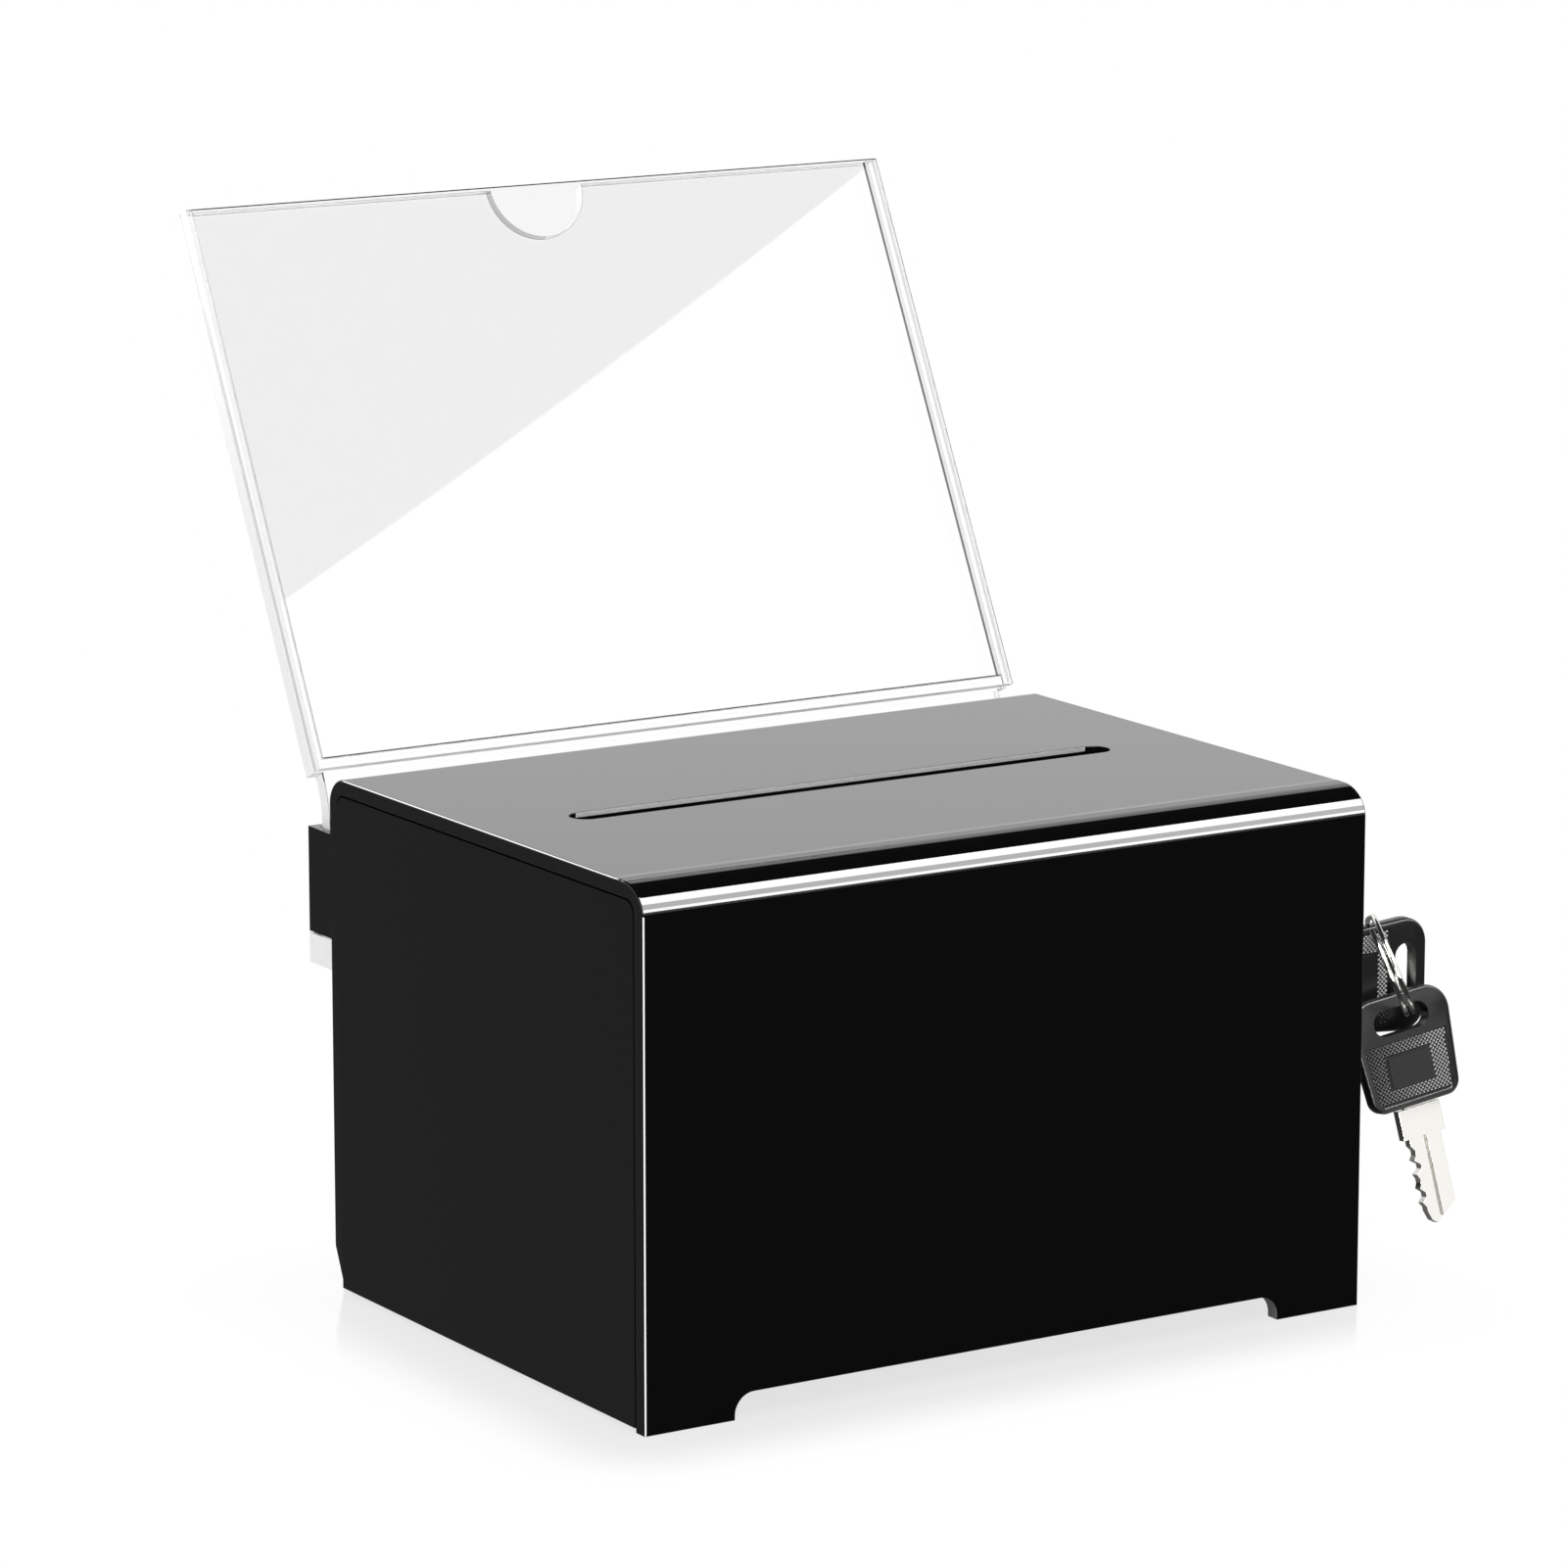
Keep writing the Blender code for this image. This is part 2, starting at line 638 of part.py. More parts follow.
def make_plug(axis):
    """The part that turns: plug with its keyway and square tang, cam and screw."""
    mesh = rod_mesh("lock_plug", PLUG_DIAMETER / 2, BARREL_END, LOCK_FRONT - PLUG_RECESS)
    plug = add_object("lock_plug", mesh, NICKEL, axis, ALONG_X)
    half = TANG_SIZE / 2
    tang = block_mesh("plug_tang", (TANG_END, -half, -half), (BARREL_END + OVERRUN, half, half))
    boolean(plug, add_cutter("plug_tang", tang, axis), "UNION")
    thick = BLADE_THICKNESS / 2 + KEYWAY_FIT
    wide = BLADE_WIDTH / 2 + KEYWAY_FIT
    tip = KEY_1_X - BLADE_END - KEYWAY_FIT
    keyway = block_mesh("keyway", (tip, -thick, -wide), (LOCK_FRONT + OVERRUN, thick, wide))
    boolean(plug, add_cutter("keyway", keyway, axis))
    drilled = rod_mesh(
        "screw_hole",
        SCREW_DIAMETER / 2 + PIN_FIT,
        TANG_END - OVERRUN,
        SCREW_SEAT + SCREW_LENGTH + GLUE_LINE,
        PIN_SIDES,
    )
    boolean(plug, add_cutter("screw_hole", drilled, axis, ALONG_X))
    shade_round(plug)

    tip_half = CAM_TIP_WIDTH / 2
    fillet = CAM_TIP_WIDTH * CAM_TIP_FILLET_SHARE
    tangent = math.acos((CAM_HUB_RADIUS - tip_half) / CAM_REACH)
    hub = arc((0, 0), CAM_HUB_RADIUS, math.pi / 2 + tangent, 5 * math.pi / 2 - tangent)
    end = rounded([
        (tip_half, 0, 0),
        (tip_half, CAM_REACH, fillet),
        (-tip_half, CAM_REACH, fillet),
        (-tip_half, 0, 0),
    ])[1:-1]
    cam_mesh = outline_mesh("lock_cam", hub + end, CAM_THICKNESS)
    cam = add_object(
        "lock_cam", cam_mesh, ZINC_STEEL, axis, at((CAM_OUTER + CAM_INNER) / 2, 0, 0, FACING_RIGHT)
    )
    hole = half + GLUE_LINE
    square = block_mesh("cam_hole", (CAM_INNER - OVERRUN, -hole, -hole), (BARREL_END, hole, hole))
    boolean(cam, add_cutter("cam_hole", square, axis))

    turned(
        "cam_screw",
        [
            (0, SCREW_SEAT + SCREW_LENGTH),
            (SCREW_DIAMETER / 2, SCREW_SEAT + SCREW_LENGTH),
            (SCREW_DIAMETER / 2, SCREW_SEAT),
            (SCREW_HEAD_DIAMETER / 2, SCREW_SEAT),
            (SCREW_HEAD_DIAMETER / 2, SCREW_SEAT - SCREW_HEAD_HEIGHT * SCREW_HEAD_EDGE_SHARE),
            (SCREW_HEAD_DIAMETER / 2 * SCREW_HEAD_TOP_SHARE, SCREW_SEAT - SCREW_HEAD_HEIGHT),
            (0, SCREW_SEAT - SCREW_HEAD_HEIGHT),
        ],
        ZINC_STEEL, axis, ALONG_X, PIN_SIDES,
    )


def bow_half_width(along):
    """Half of the bow's width, at a distance from its blade end."""
    return (BOW_INNER_WIDTH + (BOW_OUTER_WIDTH - BOW_INNER_WIDTH) * along / BOW_LENGTH) / 2


def bow_outline(inset, end):
    """The bow's outline, drawn in by inset, up to a distance from the blade end."""
    low = inset
    high = end - inset
    inner_fillet = max(BOW_INNER_FILLET - inset, BOW_EDGE)
    outer_fillet = max(BOW_OUTER_FILLET - inset, BOW_EDGE) if end == BOW_LENGTH else BOW_EDGE
    wide = bow_half_width(high) - inset
    narrow = bow_half_width(low) - inset
    return rounded([
        (low, -narrow, inner_fillet),
        (high, -wide, outer_fillet),
        (high, wide, outer_fillet),
        (low, narrow, inner_fillet),
    ])


BOW_PANEL_END = BOW_LENGTH - BOW_BORDER - BOW_SLOT_WIDTH
SLOT_CENTRE = BOW_LENGTH - BOW_BORDER - BOW_SLOT_WIDTH / 2


def make_key(number, frame):
    """A key along its own X: the bow from zero outwards, the blade to minus X."""
    name = f"key_{number}_bow"
    mesh = outline_mesh(name, bow_outline(0, BOW_LENGTH), BOW_THICKNESS)
    bow = add_object(name, mesh, BLACK_MOULDING, frame, FACING_FRONT)
    round_edges(bow, BOW_EDGE)
    hole = outline_mesh(
        f"{name}_slot", obround(BOW_SLOT_LENGTH, BOW_SLOT_WIDTH), BOW_THICKNESS + 2 * OVERRUN
    )
    across = FACING_FRONT @ Matrix.Rotation(math.radians(90), 4, "Z")
    boolean(bow, add_cutter(f"{name}_slot", hole, frame, at(SLOT_CENTRE, 0, 0, across)))
    panel = bow_outline(BOW_RIM, BOW_PANEL_END)
    middle = BOW_PANEL_END / 2
    plaque = rounded([
        (middle - BOW_PLAQUE_LENGTH / 2, -BOW_PLAQUE_WIDTH / 2, BOW_EDGE),
        (middle + BOW_PLAQUE_LENGTH / 2, -BOW_PLAQUE_WIDTH / 2, BOW_EDGE),
        (middle + BOW_PLAQUE_LENGTH / 2, BOW_PLAQUE_WIDTH / 2, BOW_EDGE),
        (middle - BOW_PLAQUE_LENGTH / 2, BOW_PLAQUE_WIDTH / 2, BOW_EDGE),
    ])
    for side, face in ((-1, "front"), (1, "back")):
        cut_name = f"{name}_{face}_panel"
        sunk = outline_mesh(cut_name, panel, 2 * BOW_PANEL_DEPTH)
        level = side * BOW_THICKNESS / 2
        tool = add_cutter(cut_name, sunk, frame, at(0, level, 0, FACING_FRONT))
        left_up = outline_mesh(f"{cut_name}_plaque", plaque, OVERRUN)
        spared = add_cutter(f"{cut_name}_plaque", left_up, frame, at(0, level, 0, FACING_FRONT))
        boolean(tool, spared)
        boolean(bow, tool)
    thick = KEY_TANG_THICKNESS / 2 + GLUE_LINE
    wide = KEY_TANG_WIDTH / 2 + GLUE_LINE
    socket = block_mesh(
        f"{name}_socket", (-OVERRUN, -thick, -wide), (KEY_TANG_LENGTH + GLUE_LINE, thick, wide)
    )
    boolean(bow, add_cutter(f"{name}_socket", socket, frame))
    shade_round(bow)
    make_blade(f"key_{number}_blade", frame)


def blade_outline():
    """Blade with its shoulder, slanted point and cuts on its upper edge."""
    wide = BLADE_WIDTH / 2
    shoulder = SHOULDER_WIDTH / 2
    neck = -SHOULDER_LENGTH
    tip = -BLADE_END
    deepest = wide - BIT_DEPTH
    outline = [
        (neck, -wide),
        (neck, -shoulder),
        (-GLUE_LINE, -shoulder),
        (-GLUE_LINE, shoulder),
        (neck, shoulder),
        (neck, wide),
    ]
    for index, share in enumerate(BIT_DEPTH_SHARES):
        middle = neck - BIT_PITCH * (index + 1)
        bottom = wide - BIT_DEPTH * share
        flat = BIT_PITCH * BIT_FLAT_SHARE / 2
        outline += [(middle + BIT_PITCH / 2, wide), (middle + flat, bottom), (middle - flat, bottom)]
    outline += [
        (tip + BLADE_TIP * BLADE_NOSE_SHARE, deepest),
        (tip, deepest - BLADE_TIP * BLADE_NOSE_DROP_SHARE),
        (tip + BLADE_TIP, -wide),
    ]
    return outline


def make_blade(name, frame):
    outline = blade_outline()
    mesh = outline_mesh(name, outline, BLADE_THICKNESS)
    blade = add_object(name, mesh, NICKEL, frame, FACING_FRONT)
    half = KEY_TANG_WIDTH / 2
    thick = KEY_TANG_THICKNESS / 2
    tongue = block_mesh(f"{name}_tang", (-OVERRUN, -thick, -half), (KEY_TANG_LENGTH, thick, half))
    boolean(blade, add_cutter(f"{name}_tang", tongue, frame), "UNION")
    groove = block_mesh(
        f"{name}_groove",
        (-BLADE_END - OVERRUN, -BLADE_THICKNESS, -BLADE_GROOVE_WIDTH / 2),
        (-SHOULDER_LENGTH, -BLADE_THICKNESS / 2 + BLADE_GROOVE_DEPTH, BLADE_GROOVE_WIDTH / 2),
    )
    boolean(blade, add_cutter(f"{name}_groove", groove, frame))


def ring_seat():
    """Where the ring's middle line crosses the first key's mid plane: over its edge, in its slot.

    Both are (x, z) in the first key's frame. The wire rests on the bow's upper edge,
    and the lower end of the slot keeps the ring from hanging straight down.
    """
    wire = RING_WIRE_DIAMETER / 2
    along = BOW_LENGTH * RING_ON_BOW_SHARE
    upper = Vector((along, bow_half_width(along) + wire + RING_EDGE_PLAY))
    side = SLOT_CENTRE - BOW_SLOT_WIDTH / 2 + BOW_SLOT_WIDTH * RING_IN_SLOT_SHARE
    lower = Vector((side, -BOW_SLOT_LENGTH / 2 + wire + RING_SLOT_PLAY))
    return upper, lower


def ring_axes():
    """Centre and axes of the ring in the first key's frame: across, up and along its axle."""
    upper, lower = ring_seat()
    chord = lower - upper
    down = Vector((chord.x, 0, chord.y)).normalized()
    sideways = Vector((-down.z, 0, down.x))
    axle = math.cos(RING_TURN) * sideways + math.sin(RING_TURN) * Vector((0, -1, 0))
    forward = -math.sin(RING_TURN) * sideways + math.cos(RING_TURN) * Vector((0, -1, 0))
    offset = math.sqrt(RING_RADIUS ** 2 - (chord.length / 2) ** 2)
    middle = (upper + lower) / 2
    centre = Vector((middle.x, 0, middle.y)) + forward * offset
    rise = (Vector((0, 0, 1)) - axle * axle.z).normalized()
    across = rise.cross(axle)
    return centre, across, rise, axle


def make_ring(frame):
    """Split ring: one wire wound twice, with the joggle where it changes from coil to coil."""
    centre, across, rise, axle = ring_axes()
    turns = 2 * math.tau - JOGGLE_TURN * 2
    count = round(RING_SIDES_PER_TURN * turns / math.tau)
    points = []
    for step in range(count + 1):
        turn = turns * step / count
        share = (turn - (math.tau - 2 * JOGGLE_TURN)) / JOGGLE_TURN
        share = min(max(share, 0), 1)
        lift = RING_COIL_PITCH * (share * share * (3 - 2 * share) - 1 / 2)
        angle = turn + RING_END_TURN
        points.append(
            centre
            + across * (RING_RADIUS * math.cos(angle))
            + rise * (RING_RADIUS * math.sin(angle))
            + axle * lift
        )
    curve = bpy.data.curves.new("split_ring", "CURVE")
    curve.dimensions = "3D"
    curve.bevel_depth = RING_WIRE_DIAMETER / 2
    curve.bevel_resolution = 2
    curve.use_fill_caps = True
    spline = curve.splines.new("POLY")
    spline.points.add(len(points) - 1)
    for knot, point in zip(spline.points, points):
        knot.co = (*point, 1)
    mesh = mesh_of_curve("split_ring", curve)
    ring = add_object("split_ring", mesh, NICKEL, frame)
    shade_round(ring)


def key_2_place():
    """The second key's turn and zero, in the first key's frame: its border hangs on the ring."""
    centre, _, rise, _ = ring_axes()
    lowest = centre - rise * RING_RADIUS
    hang = Matrix.Rotation(-math.pi / 2 - KEY_2_TILT, 4, "Y")
    turn = Matrix.Rotation(KEY_2_YAW, 4, "Z") @ Matrix.Rotation(KEY_2_PITCH, 4, "X") @ hang
    reach = RING_WIRE_DIAMETER / 2 + RING_HOOK_PLAY
    inside = Vector((BOW_LENGTH - BOW_BORDER - reach, 0, -BOW_SLOT_LENGTH * KEY_2_SIDE_SHARE))
    return turn, lowest, inside


def make_bracket(frame):
    """Black pocket on the rear wall, and the clear strip under it that carries the tab."""
    top = BRACKET_BOTTOM + BRACKET_HEIGHT
    half = BRACKET_HALF_WIDTH
    inner = block_mesh(
        "bracket_inner_plate",
        (-half, BRACKET_FRONT, BRACKET_BOTTOM),
        (half, BRACKET_FRONT + BRACKET_PLATE, top),
    )
    add_object("bracket_inner_plate", inner, BLACK_ACRYLIC, frame)
    outer = block_mesh(
        "bracket_outer_plate", (-half, OUTER_PLATE_FRONT, BRACKET_BOTTOM), (half, BRACKET_REAR, top)
    )
    add_object("bracket_outer_plate", outer, BLACK_ACRYLIC, frame)
    near = TAB_HALF_WIDTH + GLUE_LINE
    for side, name in ((-1, "bracket_end_left"), (1, "bracket_end_right")):
        low = (min(side * near, side * half), TAB_FRONT, BRACKET_BOTTOM)
        high = (max(side * near, side * half), TAB_REAR, top)
        add_object(name, block_mesh(name, low, high), BLACK_ACRYLIC, frame)
    stop_top = BRACKET_BOTTOM - GLUE_LINE
    stop = block_mesh(
        "tab_stop_strip",
        (-half, BRACKET_FRONT, stop_top - STOP_HEIGHT),
        (half, BRACKET_REAR, stop_top),
    )
    add_object("tab_stop_strip", stop, CLEAR_ACRYLIC, frame)


def holder_rear_line():
    """Section of the holder's rear face: up the tab, round the bend, up the pane."""
    bend_y = TAB_REAR + HOLDER_BEND_RADIUS
    bend_z = BRACKET_BOTTOM + TAB_STRAIGHT
    curve = arc((bend_y, bend_z), HOLDER_BEND_RADIUS, math.pi, math.pi - HOLDER_LEAN)
    along = Vector((math.sin(HOLDER_LEAN), math.cos(HOLDER_LEAN)))
    shoulder = Vector(curve[-1]) + along * HOLDER_SHOULDER_RISE
    top = shoulder + along * HOLDER_LENGTH
    return [(TAB_REAR, BRACKET_BOTTOM)] + curve + [tuple(top)], shoulder


def make_holder(frame):
    """Clear sign holder: rear pane with its bent tab, front pane, and spacers between."""
    line, shoulder = holder_rear_line()
    slide = make_empty("holder_slide", frame, (0, TAB_REAR - SHEET / 2, BRACKET_BOTTOM))
    back_to_frame = slide.matrix_basis.inverted()
    mesh = sheet_mesh("holder_back_pane", line, HALF_WIDTH)
    back = add_object("holder_back_pane", mesh, CLEAR_ACRYLIC, slide, back_to_frame)
    thicken(back, SHEET, 1)

    pane = back_to_frame @ at(0, shoulder.x, shoulder.y, Matrix.Rotation(-HOLDER_LEAN, 4, "X"))
    for side, name in ((-1, "tab_cutter_left"), (1, "tab_cutter_right")):
        low = (min(side * TAB_HALF_WIDTH, side * BOX_WIDTH), -BOX_DEPTH, -BOX_HEIGHT)
        high = (max(side * TAB_HALF_WIDTH, side * BOX_WIDTH), BOX_DEPTH, 0)
        boolean(back, add_cutter(name, block_mesh(name, low, high), slide, pane))
    notch = rod_mesh("notch_cutter", NOTCH_RADIUS, -OVERRUN, SHEET + OVERRUN)
    top_edge = pane @ at(0, 0, HOLDER_LENGTH, FACING_FRONT)
    boolean(back, add_cutter("notch_cutter", notch, slide, top_edge))
    shade_round(back)

    spacer_rear = -SHEET - GLUE_LINE
    spacer_front = -SHEET - POCKET_DEPTH + GLUE_LINE
    inner = HALF_WIDTH - SIDE_STRIP_WIDTH
    for side, name in ((-1, "holder_side_strip_left"), (1, "holder_side_strip_right")):
        low = (min(side * inner, side * HALF_WIDTH), spacer_front, 0)
        high = (max(side * inner, side * HALF_WIDTH), spacer_rear, HOLDER_LENGTH)
        add_object(name, block_mesh(name, low, high), CLEAR_ACRYLIC, slide, pane)
    strip = block_mesh(
        "holder_bottom_strip",
        (-inner + GLUE_LINE, spacer_front, 0),
        (inner - GLUE_LINE, spacer_rear, BOTTOM_STRIP_WIDTH),
    )
    add_object("holder_bottom_strip", strip, CLEAR_ACRYLIC, slide, pane)
    front = block_mesh(
        "holder_front_pane",
        (-HALF_WIDTH, -HOLDER_THICKNESS, 0),
        (HALF_WIDTH, -SHEET - POCKET_DEPTH, HOLDER_LENGTH),
    )
    add_object("holder_front_pane", front, CLEAR_ACRYLIC, slide, pane)


def centre_on_origin(frame):
    """Move the whole part so that the middle of its footprint is at the origin."""
    bpy.context.view_layer.update()
    graph = bpy.context.evaluated_depsgraph_get()
    corners = []
    for item in parts.objects:
        if item.type == "MESH":
            shown = item.evaluated_get(graph)
            corners += [shown.matrix_world @ vert.co for vert in shown.to_mesh().vertices]
            shown.to_mesh_clear()
    low = [min(corner[axis] for corner in corners) for axis in range(3)]
    high = [max(corner[axis] for corner in corners) for axis in range(3)]
    frame.location = (-(low[0] + high[0]) / 2, -(low[1] + high[1]) / 2, -low[2])


clear_scene()
parts = make_collection("Lockable acrylic box")
cutters = make_collection("Cutters")

box_frame = make_empty("box_frame")
make_wrap(box_frame)
make_left_side(box_frame)
make_floor(box_frame)
make_strike(box_frame)
make_bracket(box_frame)
make_holder(box_frame)

door_hinge = make_empty("door_hinge", box_frame, (HINGE_X, HINGE_Y, 0))
make_door(door_hinge)
make_pins(door_hinge)

lock_axis = make_empty("lock_axis", door_hinge, (-HINGE_X, LOCK_Y - HINGE_Y, LOCK_HEIGHT))
make_lock(lock_axis)
plug_axis = make_empty("plug_axis", lock_axis)
make_plug(plug_axis)

key_1_frame = make_empty("key_1_frame", plug_axis, (KEY_1_X, 0, 0))
make_key(1, key_1_frame)
ring_swing = make_empty("ring_swing", key_1_frame)
make_ring(ring_swing)

key_2_turn, key_2_hook, key_2_hole = key_2_place()
key_2_swing = make_empty("key_2_swing", ring_swing, key_2_hook, key_2_turn)
key_2_frame = make_empty("key_2_frame", key_2_swing, -key_2_hole)
make_key(2, key_2_frame)

centre_on_origin(box_frame)
bpy.context.view_layer.update()
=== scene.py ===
"""Dresses the lockable acrylic box with its finishes, and sets the studio round it."""

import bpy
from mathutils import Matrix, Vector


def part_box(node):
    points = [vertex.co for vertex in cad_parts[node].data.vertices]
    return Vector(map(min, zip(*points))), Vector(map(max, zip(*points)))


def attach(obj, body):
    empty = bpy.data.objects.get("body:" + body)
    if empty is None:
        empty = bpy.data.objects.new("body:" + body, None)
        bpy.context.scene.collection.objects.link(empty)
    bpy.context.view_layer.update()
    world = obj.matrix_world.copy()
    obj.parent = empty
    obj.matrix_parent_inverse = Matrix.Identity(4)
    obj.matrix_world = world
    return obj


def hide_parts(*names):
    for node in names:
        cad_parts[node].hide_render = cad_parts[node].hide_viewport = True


bl_info = {
    "name": "Lockable Acrylic Box",
    "version": (1, 0, 0),
    "blender": (4, 5, 0),
    "location": "View3D > Sidebar > Acrylic Box",
    "description": "Dresses the box, its sign holder, lock and keys",
    "category": "Object",
}

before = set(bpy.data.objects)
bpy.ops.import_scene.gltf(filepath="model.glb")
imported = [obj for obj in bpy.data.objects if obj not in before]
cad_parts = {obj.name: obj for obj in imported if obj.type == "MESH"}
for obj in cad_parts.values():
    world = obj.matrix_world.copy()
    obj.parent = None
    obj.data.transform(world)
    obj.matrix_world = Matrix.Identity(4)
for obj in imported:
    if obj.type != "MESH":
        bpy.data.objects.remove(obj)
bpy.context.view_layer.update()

import math

import bmesh
import bpy
from bpy.props import FloatProperty, FloatVectorProperty, PointerProperty
from bpy.types import Node, NodeSocket, Operator, Panel, PropertyGroup
from mathutils import Matrix, Vector

SHELL_LOW, SHELL_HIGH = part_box("wrap_shell")
MIDDLE = (SHELL_LOW + SHELL_HIGH) / 2
FOOTPRINT = Vector((MIDDLE.x, MIDDLE.y, 0))
HALF_WIDTH = (SHELL_HIGH.x - SHELL_LOW.x) / 2
HALF_DEPTH = (SHELL_HIGH.y - SHELL_LOW.y) / 2
TOP = SHELL_HIGH.z
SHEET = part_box("left_side_panel")[1].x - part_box("left_side_panel")[0].x
MM = 0.001
WELD = 1e-6
SMOOTH_ANGLE = math.radians(32)
FLAT_ANGLE = math.radians(0.5)


def linear(code):
    """An sRGB hex code such as "#1a2b3c" as linear red, green, blue and alpha."""
    parts = [int(code[first:first + 2], 16) / 255 for first in (1, 3, 5)]
    curved = [part / 12.92 if part <= 0.04045 else ((part + 0.055) / 1.055) ** 2.4 for part in parts]
    return (*curved, 1.0)


def length(name, about, millimetres):
    return FloatProperty(
        name=name, description=about, default=millimetres * MM, min=0, unit="LENGTH", precision=5
    )


def turn(name, about, degrees):
    return FloatProperty(name=name, description=about, default=math.radians(degrees), unit="ROTATION")


def level(name, about, strength):
    return FloatProperty(name=name, description=about, default=strength, min=0)


def colour(name, about, code):
    return FloatVectorProperty(
        name=name, description=about, default=linear(code), size=4, subtype="COLOR", min=0, max=1
    )


class BoxSizes(PropertyGroup):
    """The bent shell and the flat panels."""

    bend_radius: length("Bend radius", "Outer radius of the two bends", 5.5)
    bend_lead: length("Bend lead", "Where the front bend starts, from the front", 6.9)
    bend_ridge: length("Bend ridge", "Height of the heat-bent sheet's ridge", 0.06)
    edge_round: length("Edge round", "Flame-polished round on the sheet's edges", 0.42)
    panel_edge: length("Panel edge", "Broken edge of the flat panels", 0.12)
    slot_length: length("Slot length", "Length of the slot in the top", 120)
    slot_width: length("Slot width", "Width of the slot in the top", 6.5)
    foot_width: length("Foot width", "Width of each foot", 19.05)
    foot_height: length("Foot height", "Height of the cut-out between the feet", 4.85)
    foot_fillet: length("Foot fillet", "Radius where the cut-out meets a foot", 4)
    trim_height: length("Trim height", "Height of the trimmed rear corners", 9)
    trim_width: length("Trim width", "Width of the trimmed rear corners", 1.9)


class HolderSizes(PropertyGroup):
    """The clear sign holder."""

    lean: turn("Lean", "How far the panes lean back", 26.8)
    pane_length: length("Pane length", "Height of the panes along their slope", 113.2)
    bend_radius: length("Bend radius", "Rear radius of the bend above the tab", 20)
    tab_straight: length("Tab length", "Straight part of the tab below the bend", 20.25)
    tab_inset: length("Tab inset", "How much narrower the tab is on each side", 1.95)
    shoulder_rise: length("Shoulder rise", "Straight part between the bend and the panes", 0.65)
    pocket: length("Pocket", "Depth of the pocket for the card", 1.5)
    front_pane: length("Front pane", "Thickness of the front pane", 1.5)
    side_strip: length("Side strip", "Width of the spacers at the sides", 1.7)
    bottom_strip: length("Bottom strip", "Width of the spacer at the bottom", 2.1)
    notch_radius: length("Notch radius", "Radius of the thumb notch", 10.4)
    spacer_step: length("Spacer step", "How far the spacers stop short of the edges", 0.25)
    edge_round: length("Edge round", "Widest round on the polished edges", 0.3)


class KeySizes(PropertyGroup):
    """The two keys and the split ring."""

    bow_length: length("Bow length", "Length of the moulded bow", 22)
    bow_outer: length("Bow outer width", "Width of the bow at its outer end", 23.2)
    bow_inner: length("Bow inner width", "Width of the bow at the blade", 19.7)
    bow_thickness: length("Bow thickness", "Thickness of the bow", 2.8)
    outer_fillet: length("Outer fillet", "Corner radius at the outer end", 5.2)
    inner_fillet: length("Inner fillet", "Corner radius at the blade", 3)
    bow_edge: length("Bow edge", "Round on the bow's edges", 0.6)
    slot_width: length("Slot width", "Width of the ring's slot", 5)
    slot_length: length("Slot length", "Length of the ring's slot", 12.6)
    border: length("Border", "Bar between the slot and the outer end", 2.5)
    rim: length("Rim", "Width of the raised rim", 1.3)
    panel_depth: length("Panel depth", "How deep the grip panel is sunk", 0.3)
    plaque_length: length("Plaque length", "Bare plaque along the bow", 6)
    plaque_width: length("Plaque width", "Bare plaque across the bow", 9.5)
    grip_pitch: length("Grip pitch", "Distance between the diamonds of the grip", 0.9)
    grip_height: length("Grip height", "Height of the diamonds", 0.3)
    blade_thickness: length("Blade thickness", "Thickness of the blade", 1.9)
    shoulder_length: length("Shoulder length", "Wide part of the blade next to the bow", 6.2)
    shoulder_width: length("Shoulder width", "Width of that part", 9.5)
    blade_length: length("Blade length", "Cut part of the blade", 17.2)
    blade_width: length("Blade width", "Width of the cut part", 7.2)
    tip: length("Tip", "Length of the slanted point", 3.4)
    bit_depth: length("Bit depth", "Deepest cut of the bitting", 1.3)
    bit_pitch: length("Bit pitch", "Distance between two cuts", 2.8)
    groove_width: length("Groove width", "Width of the milled groove", 0.6)
    groove_depth: length("Groove depth", "Depth of the milled groove", 1.2)
    tang_length: length("Tang length", "Tongue inside the bow", 3)
    tang_width: length("Tang width", "Width of that tongue", 6)
    tang_thickness: length("Tang thickness", "Thickness of that tongue", 1.1)
    blade_edge: length("Blade edge", "Broken edge of the blade", 0.1)
    wire: length("Wire", "Diameter of the ring's wire", 1)
    ring_radius: length("Ring radius", "Radius of the wire's middle line", 9.9)
    coil_pitch: length("Coil pitch", "Distance between the two coils", 1.45)
    edge_play: length("Edge play", "Play between the wire and the bow's edge", 0.9)
    slot_play: length("Slot play", "Play between the wire and the slot's end", 2.1)
    hook_play: length("Hook play", "Play between the wire and the second bow", 1.3)
    ring_turn: turn("Ring turn", "Turn of the ring about the first key", 28)
    wire_start: turn("Wire start", "Where the wire's end lies on the ring", 118)
    joggle: turn("Joggle", "Turn over which the wire changes coils", 32)
    tilt: turn("Tilt", "Tilt of the hanging key in its own plane", 9)
    yaw: turn("Yaw", "Turn of the hanging key about the vertical", -5)
    pitch: turn("Pitch", "Lean of the hanging key towards the box", -10)


